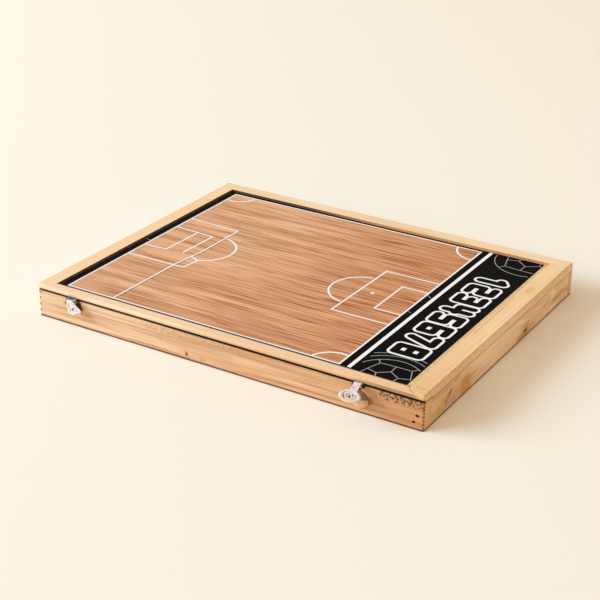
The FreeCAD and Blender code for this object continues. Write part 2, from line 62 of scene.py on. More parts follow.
# %% Calls for a tree of nodes
class Network:
    """A tree of nodes, with a short call for every kind of node that is used often."""

    def __init__(self, tree):
        self.tree = tree

    def feed(self, socket, value):
        if isinstance(value, bpy.types.NodeSocket):
            self.tree.links.new(value, socket)
        else:
            socket.default_value = value

    def put(self, kind, feeds=None, **settings):
        node = self.tree.nodes.new(kind)
        for name, value in settings.items():
            setattr(node, name, value)
        for socket, value in (feeds or {}).items():
            self.feed(node.inputs[socket], value)
        return node

    def add(self, kind, feeds=None, **settings):
        """The first output of a new node."""
        return self.put(kind, feeds, **settings).outputs[0]

    def use(self, group, feeds):
        """The outputs of a group that is placed in this tree."""
        return self.put("ShaderNodeGroup", feeds, node_tree=group.tree).outputs

    def calc(self, operation, *values):
        return self.add("ShaderNodeMath", dict(enumerate(values)), operation=operation)

    def minus(self, first, second):
        return self.calc("SUBTRACT", first, second)

    def times(self, first, *others):
        for other in others:
            first = self.calc("MULTIPLY", first, other)
        return first

    def scaled(self, value, factor, start):
        """The value times a factor, plus a start."""
        return self.calc("MULTIPLY_ADD", value, factor, start)

    def length(self, first, second):
        """How far two steps at a right angle lead."""
        squares = self.calc("ADD", self.times(first, first), self.times(second, second))
        return self.calc("SQRT", squares)

    def step(self, value, low, high):
        """Goes smoothly from 0 at one value to 1 at the other."""
        feeds = {"Value": value, "From Min": low, "From Max": high}
        return self.add("ShaderNodeMapRange", feeds, interpolation_type="SMOOTHSTEP")

    def vector(self, operation, *values):
        node = self.put("ShaderNodeVectorMath", dict(enumerate(values)), operation=operation)
        return node.outputs["Value" if operation in ("LENGTH", "DOT_PRODUCT") else 0]

    def axes(self, vector):
        return self.put("ShaderNodeSeparateXYZ", {0: vector}).outputs

    def combine(self, **axes):
        return self.add("ShaderNodeCombineXYZ", axes)

    def lay(self, vector, scale=(1, 1, 1), place=(0, 0, 0), turn=0.0):
        """Coordinates that are stretched, moved and turned."""
        feeds = {"Vector": vector, "Scale": scale, "Location": place, "Rotation": (0, 0, turn)}
        return self.add("ShaderNodeMapping", feeds)

    def noise(self, vector, scale=1.0, detail=2.0, roughness=0.5, distortion=0.0):
        feeds = {"Vector": vector, "Scale": scale, "Detail": detail, "Roughness": roughness,
                 "Distortion": distortion}
        return self.add("ShaderNodeTexNoise", feeds)

    def mix(self, mask, first, second):
        return self.put("ShaderNodeMix", {0: mask, 6: first, 7: second}, data_type="RGBA").outputs[2]


def tone(red, green, blue):
    """A colour in the 0 to 255 of a picture, made linear as Blender wants it."""
    parts = [v / 255 for v in (red, green, blue)]
    return tuple(v / 12.92 if v < 0.04045 else ((v + 0.055) / 1.055) ** 2.4 for v in parts) + (1.0,)


print("calls ready:", [name for name in vars(Network) if not name.startswith("_")])

# %% [markdown]
# An effect that several finishes share is a group: a tree with named inputs and outputs, built
# once and placed wherever it is needed. The class below adds those two ends to a network.

# %% Calls for a group
class Group(Network):
    """A tree that others use: `given` holds its inputs, and `give` fills an output."""

    def __init__(self, name, kind, inputs, outputs):
        super().__init__(bpy.data.node_groups.new(name, kind))
        for end, sockets in (("INPUT", inputs), ("OUTPUT", outputs)):
            for label, socket in sockets.items():
                self.tree.interface.new_socket(label, in_out=end, socket_type=socket)
        self.given = self.put("NodeGroupInput").outputs
        self.result = self.put("NodeGroupOutput").inputs

    def give(self, label, value):
        self.feed(self.result[label], value)


SHADERS, SHAPES = "ShaderNodeTree", "GeometryNodeTree"
NUMBER, VECTOR, COLOUR = "NodeSocketFloat", "NodeSocketVector", "NodeSocketColor"
GEOMETRY, MATERIAL = "NodeSocketGeometry", "NodeSocketMaterial"
COUNT, SWITCH = "NodeSocketInt", "NodeSocketBool"
print("groups of", SHADERS, "and", SHAPES)

# %% [markdown]
# Pine shows its year rings. A board is cut along the trunk, so the rings are long lines on its
# faces and arcs on its ends. A flat stripe texture would be wrong on one of the two. Here the
# colour follows the distance from the trunk's centre line, which is right on every face. The
# board's own X runs along the grain; each board gets another piece of the trunk by its offset.

# %% Shader group: pine
pine = Group("Pine", SHADERS,
             {"Vector": VECTOR, "Pale": COLOUR, "Deep": COLOUR, "Rings": NUMBER, "Waver": NUMBER,
              "Figure": NUMBER, "Fibre": NUMBER, "Cloud": NUMBER},
             {"Color": COLOUR, "Height": NUMBER, "Roughness": NUMBER})
given = pine.given
drift = pine.minus(pine.noise(pine.lay(given["Vector"], (3.2, 22, 22))), 0.5)
radius = pine.vector("LENGTH", pine.vector("MULTIPLY", given["Vector"], (0, 1, 1)))
phase = pine.calc("ADD", pine.times(radius, given["Rings"]), pine.times(drift, given["Waver"]))
ring = pine.calc("FRACT", phase)
year = pine.add("ShaderNodeTexWhiteNoise", {"W": pine.calc("FLOOR", phase)}, noise_dimensions="1D")
late = pine.times(pine.step(ring, 0.3, 0.9), pine.step(ring, 1.0, 0.93))
late = pine.times(late, pine.scaled(year, 0.8, 0.2))
fibre = pine.noise(pine.lay(given["Vector"], (16, 900, 900)), 1.0, 3.0, 0.6)
cloud = pine.noise(pine.lay(given["Vector"], (6, 38, 38)), 1.0, 2.0, 0.55, 0.4)
amount = pine.times(late, given["Figure"])
amount = pine.scaled(pine.minus(fibre, 0.5), given["Fibre"], amount)
amount = pine.scaled(pine.minus(cloud, 0.42), given["Cloud"], amount)
pine.give("Color", pine.mix(amount, given["Pale"], given["Deep"]))
pine.give("Height", pine.minus(fibre, pine.times(late, 0.5)))
pine.give("Roughness", pine.scaled(fibre, 0.22, 0.4))
print("group", pine.tree.name, "with", len(pine.tree.nodes), "nodes")

# %% [markdown]
# A knot is where a branch left the trunk: a dark core in a honey-coloured halo. A crack or an
# open joint is a thin dark line. Worn or dirty edges come from years of handling. All three are
# masks that several boards use, so each is a group; the knot and the crack mask also lay painted
# shadows. One measures a wobbling distance from one spot and the other from a line between two
# points. `Edge rub` is strong where two faces of a block meet: it takes the middle one of the
# three distances to the block's sides.

# %% Shader groups: knot, crack and edge rub
knot_and_shadow_mask = Group("Knot", SHADERS, {"Vector": VECTOR, "Place": VECTOR, "Size": VECTOR},
                  {"Core": NUMBER, "Halo": NUMBER})
given = knot_and_shadow_mask.given
away = knot_and_shadow_mask.vector("SUBTRACT", given["Vector"], given["Place"])
away = knot_and_shadow_mask.vector("LENGTH", knot_and_shadow_mask.vector("DIVIDE", away, given["Size"]))
wobble = knot_and_shadow_mask.minus(knot_and_shadow_mask.noise(given["Vector"], 260.0), 0.5)
away = knot_and_shadow_mask.scaled(wobble, 1.1, away)
knot_and_shadow_mask.give("Core", knot_and_shadow_mask.step(away, 1.05, 0.6))
knot_and_shadow_mask.give("Halo", knot_and_shadow_mask.step(away, 3.2, 0.7))

crack_and_shadow_mask = Group("Crack", SHADERS, {"Vector": VECTOR, "Start": VECTOR, "End": VECTOR, "Width": NUMBER},
                   {"Mask": NUMBER})
given = crack_and_shadow_mask.given
run = crack_and_shadow_mask.vector("SUBTRACT", given["End"], given["Start"])
offset = crack_and_shadow_mask.vector("SUBTRACT", given["Vector"], given["Start"])
share = crack_and_shadow_mask.calc("DIVIDE", crack_and_shadow_mask.vector("DOT_PRODUCT", offset, run),
                        crack_and_shadow_mask.vector("DOT_PRODUCT", run, run))
share = crack_and_shadow_mask.add("ShaderNodeClamp", {"Value": share})
nearest = crack_and_shadow_mask.add("ShaderNodeVectorMath", {0: run, "Scale": share}, operation="SCALE")
away = crack_and_shadow_mask.vector("LENGTH", crack_and_shadow_mask.vector("SUBTRACT", offset, nearest))
wobble = crack_and_shadow_mask.scaled(crack_and_shadow_mask.noise(given["Vector"], 420.0), 1.2, 0.4)
away = crack_and_shadow_mask.calc("DIVIDE", away, crack_and_shadow_mask.times(given["Width"], wobble))
crack_and_shadow_mask.give("Mask", crack_and_shadow_mask.step(away, 1.0, 0.4))

rub_mask = Group("Edge rub", SHADERS, {"Vector": VECTOR, "Middle": VECTOR, "Half": VECTOR, "Width": NUMBER},
                 {"Mask": NUMBER})
given = rub_mask.given
away = rub_mask.vector("ABSOLUTE", rub_mask.vector("SUBTRACT", given["Vector"], given["Middle"]))
side = rub_mask.axes(rub_mask.vector("SUBTRACT", given["Half"], away))
low = rub_mask.calc("MINIMUM", side[0], side[1])
high = rub_mask.calc("MAXIMUM", side[0], side[1])
second = rub_mask.calc("MAXIMUM", low, rub_mask.calc("MINIMUM", high, side[2]))
ragged = rub_mask.times(given["Width"], rub_mask.times(rub_mask.noise(given["Vector"], 190.0, 3.0), 2.0))
rub_mask.give("Mask", rub_mask.minus(1.0, rub_mask.step(second, 0.0, ragged)))
print("groups", [mask.tree.name for mask in (knot_and_shadow_mask, crack_and_shadow_mask, rub_mask)])

# %% [markdown]
# A finish is one material. It starts from the object's own coordinates, which move with the
# piece, and gets its colour in layers: a first colour, then stains, knots and cracks over it, as
# they came onto the real wood, and on some pieces painted shade and painted shadows too. The
# places of all marks are in millimetres.

# %% Calls for a finish
def metres(place):
    return [v * MM for v in place]


class Finish(Network):
    """A material, with the colour that has been laid on it so far."""

    def __init__(self, name):
        self.material = bpy.data.materials.new(name)
        self.material.use_nodes = True
        super().__init__(self.material.node_tree)
        self.shader = self.tree.nodes["Principled BSDF"].inputs
        self.where = self.put("ShaderNodeTexCoord").outputs["Object"]

    @cached_property
    def at(self):
        return self.axes(self.where)

    def grain(self, stretch, detail=2.0, roughness=0.5, distortion=0.0):
        """Noise that is drawn out along an axis: a small factor makes long streaks."""
        return self.noise(self.lay(self.where, stretch), 1.0, detail, roughness, distortion)

    def span(self, axis, start, end):
        """A mask that grows from nothing to full between two places along an axis."""
        return self.step(self.at[axis], start * MM, end * MM)

    # lays a colour over a mask: real stains, and on some pieces painted shade and painted shadows
    def stain_and_shade(self, mask, strength, shade):
        self.colour = self.mix(self.times(mask, strength), self.colour, tone(*shade))

    def knot_and_shadow(self, place, size, core=(92, 52, 26), halo=(190, 128, 66), strength=0.6):
        spot = self.use(knot_and_shadow_mask, {"Vector": self.where, "Place": metres(place), "Size": metres(size)})
        self.stain_and_shade(spot["Halo"], strength, halo)
        self.stain_and_shade(spot["Core"], 1.0, core)

    def crack_and_shadow(self, points, width, strength, shade):
        for start, end in zip(points, points[1:]):
            feeds = {"Vector": self.where, "Start": metres(start), "End": metres(end), "Width": width * MM}
            self.stain_and_shade(self.use(crack_and_shadow_mask, feeds)[0], strength, shade)

    def rough(self, value, factor, start):
        self.feed(self.shader["Roughness"], self.scaled(value, factor, start))

    def gloss(self, level):
        self.shader["Specular IOR Level"].default_value = level

    def bump(self, height, strength, depth):
        feeds = {"Height": height, "Strength": strength, "Distance": depth * MM}
        self.feed(self.shader["Normal"], self.add("ShaderNodeBump", feeds))

    def done(self):
        """Connects the colour; nothing is laid on it after that."""
        self.feed(self.shader["Base Color"], self.colour)
        return self.material

    def dress(self, *names):
        """Puts the finish on pieces of the packed model, in place of what they had."""
        for name in names:
            mesh = nodes[name].data
            mesh.materials.clear()
            mesh.materials.append(self.material)
        return self.done()


print("finish calls ready:", [name for name in vars(Finish) if not name.startswith("_")])

# %% [markdown]
# Every board of the case is one finish: the pine group with the board's own tones and offset, and
# a little wear where the edges of the tray or of the lid are handled. What is special on one
# board is laid over it in the cells below.

# %% One finish for a pine board
LEFT, RIGHT, FRONT, BACK = -230, 230, -180, 180
TRAY_TOP, LID_FOOT, LID_TOP = 30.8, 28.6, 38
TRAY_BLOCK = ((0, 0, TRAY_TOP / 2), (RIGHT, BACK, TRAY_TOP / 2))
LID_BLOCK = ((0, 0, (LID_TOP + LID_FOOT) / 2), (RIGHT, BACK, (LID_TOP - LID_FOOT) / 2))


def board(name, along, offset, pale, deep, block, rings=260.0, figure=0.5, fibre=0.5, cloud=0.7):
    wood = Finish(name)
    turn = -math.pi / 2 if along == "Y" else 0.0
    grain = wood.use(pine, {"Vector": wood.lay(wood.where, place=offset, turn=turn), "Pale": tone(*pale),
                            "Deep": tone(*deep), "Rings": rings, "Waver": 3.0, "Figure": figure,
                            "Fibre": fibre, "Cloud": cloud})
    middle, half = block
    edge = wood.use(rub_mask, {"Vector": wood.where, "Middle": metres(middle), "Half": metres(half),
                               "Width": 1.6 * MM})
    wood.colour = grain["Color"]
    wood.stain_and_shade(edge["Mask"], 0.35, (168, 112, 62))
    wood.feed(wood.shader["Roughness"], grain["Roughness"])
    wood.bump(grain["Height"], 0.35, 0.4)
    return wood


print("boards of a case", RIGHT - LEFT, "x", BACK - FRONT, "x", LID_TOP, "mm")

# %% [markdown]
# The tray's walls are a warmer, more orange pine than the lid. Dark lines run where they meet the
# lid and the table: a dark joint below the lid, which on the front wall is painted shade of the
# open gap, and painted shade where the wall stands on the table. The saw has torn fibres out below
# an upper edge. Both could be painted on an image; as sums on the wall's coordinates they stay
# sharp at any distance.

# %% Marks on the tray's walls
WALL_PALE, WALL_DEEP = (226, 178, 132), (170, 114, 68)
SIDE_TOP = 28.7


def seam_and_foot_shade(wall, top, strength=0.5, shade=(150, 100, 56)):
    """Dark lines along the upper and the lower edge of a wall, on its outer face only: a dark joint
    below the lid, and painted shade where the wall stands on the table.
    """
    height = wall.at["Z"]
    far_x, far_y = [wall.calc("ABSOLUTE", wall.at[axis]) for axis in "XY"]
    outer = wall.calc("MAXIMUM", wall.step(far_x, (RIGHT - 3.5) * MM, (RIGHT - 2.0) * MM),
                      wall.step(far_y, (BACK - 5.0) * MM, (BACK - 3.5) * MM))
    ragged = wall.scaled(wall.noise(wall.where, 120.0), 0.7 * MM, wall.minus(height, 0.35 * MM))
    upper = wall.step(ragged, (top - 1.0) * MM, (top - 0.4) * MM)
    upper = wall.times(upper, wall.calc("LESS_THAN", height, (top + 0.01) * MM))
    lower = wall.step(ragged, 2.7 * MM, 1.3 * MM)
    wall.stain_and_shade(wall.times(upper, outer), strength, shade)
    wall.stain_and_shade(wall.times(lower, outer), 0.95, (96, 46, 10))


def torn_fibres(wall, scale, share, left, right, low, strength, shade):
    """Small marks on the front face, between two places along it and above a height."""
    torn = wall.step(wall.grain(scale, 2.0, 0.6), share, share + 0.07)
    along = wall.times(wall.span("X", left, left + 20), wall.span("X", right, right - 20))
    face = wall.times(along, wall.span("Y", FRONT + 2.5, FRONT + 1.3), wall.span("Z", low, low + 4))
    wall.stain_and_shade(wall.times(torn, face), strength, shade)


print("seams at", TRAY_TOP, "and", SIDE_TOP, "mm")

# %% [markdown]
# The front wall turns from pale at its left end to brown at its right end, partly its own tone
# and partly painted shade of a light that falls off to the right, with long soft waves and hair
# lines of darker and lighter wood. It has a small knot, a grey-brown band at mid height, painted
# shadows round the clasps, holes and torn wood at the corner nails, and the dark comb of the
# corner joints on both upright edges.

# %% Front wall
wall = board("pine_front_wall", "X", (0.3, 0.05, 0.062), WALL_PALE, WALL_DEEP, TRAY_BLOCK,
             figure=0.7, fibre=0.7, cloud=1.1)
wave = wall.grain((5, 1, 95), 3.0, 0.55, 0.5)
wall.stain_and_shade(wall.step(wave, 0.5, 0.75), 0.5, (182, 124, 78))
wall.stain_and_shade(wall.step(wave, 0.5, 0.28), 0.5, (252, 210, 168))
# pale at the left end, brown at the right: partly the wall's own tone, partly painted shade of a light that
# falls off to the right
for start, end, strength, shade in ((-20, -100, 0.15, (255, 226, 196)), (-190, -225, 0.2, (255, 218, 182)),
                                    (-120, 0, 0.25, (190, 126, 74)), (140, 250, 0.55, (172, 106, 46))):
    wall.stain_and_shade(wall.span("X", start, end), strength, shade)
hair = wall.grain((8, 1, 380), 3.0, 0.6)
wall.stain_and_shade(wall.step(hair, 0.52, 0.66), wall.scaled(wall.span("X", 100, 200), 0.3, 0.4), (150, 92, 48))
wall.stain_and_shade(wall.step(hair, 0.48, 0.34), wall.times(wall.span("X", 200, 100), 0.35), (255, 224, 192))
torn_fibres(wall, (400, 1, 330), 0.48, 170, 260, 20.0, 0.9, (84, 44, 16))
torn_fibres(wall, (560, 1, 480), 0.52, -100, 40, 20.5, 0.45, (150, 94, 50))
torn_fibres(wall, (420, 1, 420), 0.60, -235, -190, 24.0, 0.7, (120, 68, 32))
# the band, then the small knot with a golden patch beside it, and a pale one near the left end
wall.crack_and_shadow([(x, FRONT, z) for x, z in ((-105, 19), (-70, 17), (-40, 14.7), (15, 14.9))],
           5.0, 0.3, (190, 146, 106))
wall.knot_and_shadow((-17, FRONT, 6.4), (5.0, 4, 4.0), (210, 160, 106), (222, 172, 118), 0.2)
wall.knot_and_shadow((-37.4, FRONT, 6.4), (1.5, 4, 1.9))
wall.knot_and_shadow((-193.3, FRONT, 23.7), (1.2, 4, 2.0), (150, 98, 40), (214, 160, 106), 0.4)
# torn wood round the two right nails
for x, z, wide, tall in ((223.1, 15.1, 2.6, 1.5), (218.6, 8.0, 2.0, 0.9)):
    wall.knot_and_shadow((x, FRONT, z), (wide, 4, tall), (18, 9, 4), (226, 150, 104), 0.35)
# painted shadows of the two clasps on the wall, and a brown painted shadow round the right stud
wall.crack_and_shadow(((-176.0, FRONT, 29), (-172.6, FRONT, 21)), 3.4, 0.9, (44, 20, 6))
wall.crack_and_shadow(((163.2, FRONT, 30), (161.0, FRONT, 24)), 2.6, 0.9, (34, 14, 4))
wall.knot_and_shadow((172, FRONT, 15.5), (6, 4, 4.4), (150, 92, 48), (172, 112, 64), 0.5)
# marks on the wall seen through the clasps' holes: a grey one behind the left clasp, and painted shade behind
# the rosette's hole
wall.knot_and_shadow((-183.6, FRONT, 18.9), (2.4, 4, 2.2), (150, 136, 124), (200, 160, 120), 0.2)
wall.knot_and_shadow((151.0, FRONT, 14.6), (2.6, 4, 2.2), (60, 44, 34), (180, 120, 76), 0.2)
# the comb of the corner joint: short dark marks on both upright edges
for side, pitch, peak, reach, share in ((-1, 7.0, 14.3, 4.4, 0.6), (1, 3.9, 15.0, 1.4, 0.3)):
    from_end = wall.minus(RIGHT * MM, wall.times(wall.at["X"], side))
    comb = wall.times(wall.minus(wall.at["Z"], peak * MM), 2 * math.pi / (pitch * MM))
    comb = wall.step(wall.calc("COSINE", comb), share - 0.15, share + 0.15)
    comb = wall.times(comb, wall.step(from_end, reach * MM, reach / 2 * MM))
    wall.stain_and_shade(wall.times(comb, wall.span("Y", FRONT + 2.8, FRONT + 1.6)), 0.85, (50, 26, 12))
end_grain = wall.times(wall.span("X", RIGHT - 1.5, RIGHT - 0.8), wall.span("Y", FRONT + 1.0, FRONT + 2.0))
wall.stain_and_shade(end_grain, 0.85, (224, 182, 128))
# painted shade: the upper line is the near-black gap below the lid, the lower one the shade where the wall
# stands on the table
seam_and_foot_shade(wall, TRAY_TOP, wall.scaled(wall.span("X", -160, -20), 0.15, 0.85), (28, 8, 0))
wall.gloss(0.35)
front_pine = wall.dress("base_front_wall")
print("front wall dressed with", len(wall.tree.nodes), "nodes")

# %% [markdown]
# The right wall faces away from the light. It is pale in the middle and has a row of knots, a dark
# one with a crack beside it, and two more cracks toward the front. The left and the back wall are
# plain boards with one knot each.

# %% Right, left and back wall
wall = board("pine_right_wall", "Y", (0.7, 0.09, 0.07), (242, 204, 154), (204, 154, 100), TRAY_BLOCK,
             figure=0.4, fibre=0.8, cloud=1.5)
wave = wall.grain((1, 22, 110), 3.0, 0.55, 0.5)
wall.stain_and_shade(wall.step(wave, 0.52, 0.68), 0.6, (176, 126, 74))
wall.stain_and_shade(wall.step(wave, 0.48, 0.34), 0.8, (254, 226, 180))
wall.stain_and_shade(wall.span("Y", -60, -150), 0.4, (204, 162, 108))
wall.stain_and_shade(wall.times(wall.span("Y", -100, -50), wall.span("Y", 50, 0)), 0.5, (255, 230, 190))
for y, z, wide, tall, core, halo, strength in (
        (-92, 9.0, 13.0, 14.0, (212, 148, 74), (210, 150, 86), 0.1),
        (-150, 8.0, 3.2, 6.0, (208, 164, 78), (222, 184, 116), 0.5),
        (-164, 5.0, 3.0, 3.0, (212, 170, 86), (222, 184, 116), 0.4),
        (41, 4.4, 11.0, 3.6, (214, 148, 44), (228, 176, 100), 0.25),
        (52, 7.4, 3.6, 3.2, (40, 18, 8), (190, 112, 62), 0.5),
        (178, 15.0, 2.2, 2.8, (52, 38, 24), (176, 130, 76), 0.3)):
    wall.knot_and_shadow((RIGHT, y, z), (8, wide, tall), core, halo, strength)
wall.crack_and_shadow(((RIGHT, 53, 8), (RIGHT, 59, 16)), 1.8, 0.7, (110, 68, 34))
wall.crack_and_shadow(((RIGHT, -124, 19), (RIGHT, -130, 13.5)), 2.6, 0.9, (70, 36, 16))
wall.crack_and_shadow(((RIGHT, -127, 16), (RIGHT, -134, 10)), 2.2, 0.85, (84, 46, 20))
wall.knot_and_shadow((RIGHT, -131, 14.0), (8, 4.0, 5.0), (200, 144, 86), (200, 148, 90), 0.2)
seam_and_foot_shade(wall, SIDE_TOP)
wall.dress("base_right_wall")

for side, along, offset, place, size in (("left", "Y", (1.9, 0.2, 0.066), (LEFT, 72, 16), (4, 5, 2.2)),
                                         ("back", "X", (2.3, -0.12, 0.071), (60, BACK, 12), (6, 4, 2.8))):
    wall = board(f"pine_{side}_wall", along, offset, WALL_PALE, WALL_DEEP, TRAY_BLOCK, cloud=0.9)
    wall.knot_and_shadow(place, size)
    seam_and_foot_shade(wall, SIDE_TOP)
    wall.dress(f"base_{side}_wall")
print("tray walls dressed")

# %% [markdown]
# The lid's rails are paler and plainer, sanded smooth and thinly varnished. Each rail is its own
# board, so the grain turns at the mitres. All share what lies across the corners: an open mitre at
# the front right and a worn tip at the back left. Their front faces are darker than their tops, and
# the sides that face the gap below the lid are near black: both are painted shade.

# %% What the lid's rails share
RAIL_DEEP = (222, 168, 110)
OPEN_MITRE = ((208.6, -171, LID_TOP), (211.8, -175.6, LID_TOP), (215.4, -178.6, 37.9), (219, FRONT, 36.8))
WORN_TIP = ((-229, 174, LID_TOP), (-224, 179, LID_TOP))


def rail(name, along, offset, pale):
    wood = board("pine_" + name, along, offset, pale, RAIL_DEEP, LID_BLOCK,
                 rings=190.0, figure=0.25, fibre=0.45)
    wood.crack_and_shadow(OPEN_MITRE, 0.7, 0.85, (132, 86, 48))
    wood.crack_and_shadow(WORN_TIP, 1.4, 0.5, (168, 122, 78))
    # painted shade: the front face is darker than the top, most of all low down and to the right
    front = wood.span("Y", FRONT + 1.7, FRONT + 0.7)
    rightward = wood.span("X", -120, 100)
    wood.stain_and_shade(wood.times(front, rightward), 0.6, (212, 162, 114))
    low_down = wood.times(front, wood.span("Z", 35.0, 33.2))
    wood.stain_and_shade(wood.times(low_down, wood.scaled(rightward, 0.5, 0.3)), 1.0, (160, 102, 52))
    # painted shade: a dark band runs above the gap from the right clasp to the corner
    near_end = wood.times(wood.span("X", 150, 185), wood.span("X", 226, 216))
    wood.stain_and_shade(wood.times(front, near_end, wood.span("Z", 37.0, 35.4)), 0.85, (104, 62, 30))
    # painted shade: the sides of the lid's frame that face the gap are near black
    gap_side_shade = wood.times(wood.span("Z", 32.75, 32.65), wood.span("Y", FRONT + 3.5, FRONT + 2.0))
    wood.stain_and_shade(gap_side_shade, 0.95, (18, 6, 0))
    return wood


print("open mitre from", OPEN_MITRE[0], "to", OPEN_MITRE[-1])

# %% [markdown]
# The rails' inner edges, which face the pitch, are darkened with painted shade: dark on the front
# and left, brown at the back. The right rail has a crack beside the open mitre, a scarf joint
# further back, a soft knot, and dark dots on its outer face.

# %% Lid rails
wood = rail("lid_front_rail", "X", (0.11, 0.31, 0.075), (252, 218, 182))
wood.stain_and_shade(wood.span("X", -120, 100), 0.35, (232, 182, 130))
# painted shade on the inner edge
wood.stain_and_shade(wood.span("Y", -171.6, -170.8), 0.8, (84, 62, 46))
wood.gloss(0.2)
wood.dress("lid_front_rail")

wood = rail("lid_back_rail", "X", (3.3, -0.05, 0.068), (252, 218, 176))
# painted shade on the inner edge: brown, and dark toward the left end
inner = wood.times(wood.span("Z", 37.9, 37.4), wood.span("Y", 164.0, 163.2))
wood.stain_and_shade(inner, 0.9, (206, 138, 78))
wood.stain_and_shade(wood.times(inner, wood.span("X", 20, -120)), 0.9, (34, 22, 14))
wood.dress("lid_back_rail")

wood = rail("lid_left_rail", "Y", (5.1, 0.42, 0.08), (252, 217, 172))
# painted shade: the inner edge is near black
inner = wood.times(wood.span("Z", 37.9, 37.4), wood.span("X", -213.4, -212.6))
wood.stain_and_shade(inner, 0.92, (34, 22, 14))
wood.dress("lid_left_rail")

wood = rail("lid_right_rail", "Y", (6.7, -0.33, 0.085), (251, 214, 164))
wood.crack_and_shadow(((214.6, -168, LID_TOP), (228.5, -169.7, 37.6)), 0.7, 0.85, (140, 92, 50))
wood.crack_and_shadow(((210.9, 103, LID_TOP), (228.6, 106.5, 37.6)), 0.6, 0.5, (170, 116, 66))
wood.knot_and_shadow((219, 84, LID_TOP), (5, 12, 3), (238, 186, 116), (242, 198, 138), 0.5)
wood.crack_and_shadow(((211.5, 60, LID_TOP), (212.5, -40, LID_TOP)), 1.3, 0.45, (206, 140, 82))
wood.stain_and_shade(wood.span("Y", -50, -170), 0.4, (230, 172, 110))
outside = wood.span("X", RIGHT - 2.0, RIGHT - 1.0)
dots = wood.step(wood.noise(wood.where, 620.0), 0.5, 0.66)
wood.stain_and_shade(wood.times(dots, outside), 0.45, (168, 116, 70))
foot_line = wood.times(wood.span("Z", 29.5, 29.1), wood.step(wood.noise(wood.where, 90.0), 0.4, 0.6))
wood.stain_and_shade(wood.times(foot_line, outside), 0.7, (120, 76, 40))
wood.dress("lid_right_rail")
print("lid rails dressed")

# %% [markdown]
# The floor, the dividers and the lid's panel are thin plywood: pale, with a fine even grain. They
# lie inside the case, so no edge of theirs is rubbed.

# %% Plywood
NO_EDGES = ((0, 0, 0), (1000, 1000, 1000))
plywood = board("plywood_sheet", "X", (0.9, 0.5, 0.11), (226, 190, 142), (186, 140, 92), NO_EDGES,
                rings=90.0, figure=0.35)
plywood.dress("base_floor_panel", "tray_long_divider", "tray_left_divider", "tray_right_divider", "lid_panel")
print("plywood dressed")

# %% [markdown]
# The pitch is a laminated print: an oak floor in warm brown with wavy dark streaks, and a black
# margin round it. The streaks are noise stretched along the pitch. Where the black begins is a
# sum on the sheet's own coordinates, so the edge stays sharp at any distance. A brown edge runs
# beside the fold line: a painted shadow of that line.

# %% Printed pitch
PITCH_LEFT, PITCH_RIGHT, PITCH_FRONT, PITCH_BACK = -203, 129, -162, 157
FOLD = ((-143.6, -160.6), (-141, -56), (-136.1, -12.9), (-134.5, 57.7))
FOLD_SHADOW_SHIFT, FOLD_SHADOW_HEIGHT = 1.7, 34.8
STREAK_BEND = 0.010


def inside(finish, vector, left, right, front, back):
    """A mask with sharp edges for a box in plan, in metres."""
    at = finish.axes(vector)
    tests = [finish.calc(test, at[axis], edge)
             for test, axis, edge in (("GREATER_THAN", "X", left), ("LESS_THAN", "X", right),
                                      ("GREATER_THAN", "Y", front), ("LESS_THAN", "Y", back))]
    return finish.times(*tests)


def black_print(finish):
    """The black of the print, which is nearly matt."""
    finish.rough(finish.noise(finish.where, 60.0, 3.0), 0.15, 0.5)
    finish.gloss(0.02)
    return finish.mix(finish.noise(finish.where, 900.0), tone(2, 2, 3), tone(9, 9, 10))


oak = Finish("printed_pitch")
bend = oak.grain((9, 30, 1))
wavy = oak.vector("ADD", oak.where, oak.combine(Y=oak.times(bend, STREAK_BEND)))
band = oak.noise(oak.lay(wavy, (5, 75, 1)), 1.0, 3.0, 0.55)
streak = oak.noise(oak.lay(wavy, (16, 300, 1)), 1.0, 3.0, 0.6)
patch = oak.grain((7, 14, 1))
oak.colour = oak.mix(oak.step(band, 0.36, 0.64), tone(240, 187, 148), tone(206, 151, 110))
oak.stain_and_shade(oak.times(oak.step(streak, 0.5, 0.7), oak.step(patch, 0.3, 0.62)), 0.45, (150, 92, 56))
aged = oak.span("X", -120, 130)
oak.stain_and_shade(aged, 0.56, (190, 118, 70))
fine = oak.noise(oak.lay(wavy, (10, 500, 1)), 1.0, 2.5, 0.6)
uneven = oak.step(oak.grain((14, 60, 1)), 0.4, 0.6)
depth = oak.times(oak.scaled(aged, 0.35, 0.6), oak.scaled(uneven, 0.7, 0.35))
oak.stain_and_shade(oak.step(fine, 0.5, 0.6), depth, (146, 84, 46))
oak.stain_and_shade(oak.step(fine, 0.5, 0.4), 0.45, (248, 196, 150))
# painted shadow: a brown edge beside the fold line
oak.crack_and_shadow([(x + FOLD_SHADOW_SHIFT, y, FOLD_SHADOW_HEIGHT) for x, y in FOLD], 0.9, 0.75, (92, 58, 40))
margin = oak.mix(oak.span("X", -190, -205), black_print(oak), tone(27, 25, 25))
field = inside(oak, oak.where, *metres((PITCH_LEFT, PITCH_RIGHT, PITCH_FRONT, PITCH_BACK)))
oak.colour = oak.mix(field, margin, oak.colour)
oak.bump(oak.noise(oak.where, 1400.0), 0.1, 0.1)
oak.dress("pitch_sheet")
print("pitch printed,", PITCH_RIGHT - PITCH_LEFT, "x", PITCH_BACK - PITCH_FRONT, "mm")

# %% [markdown]
# Under the lid is the draughts board: eight by eight squares of light and dark wood in a border.
# The checker texture is laid on the sheet's middle, with its height fixed so that it can't
# flicker between two layers of the pattern.

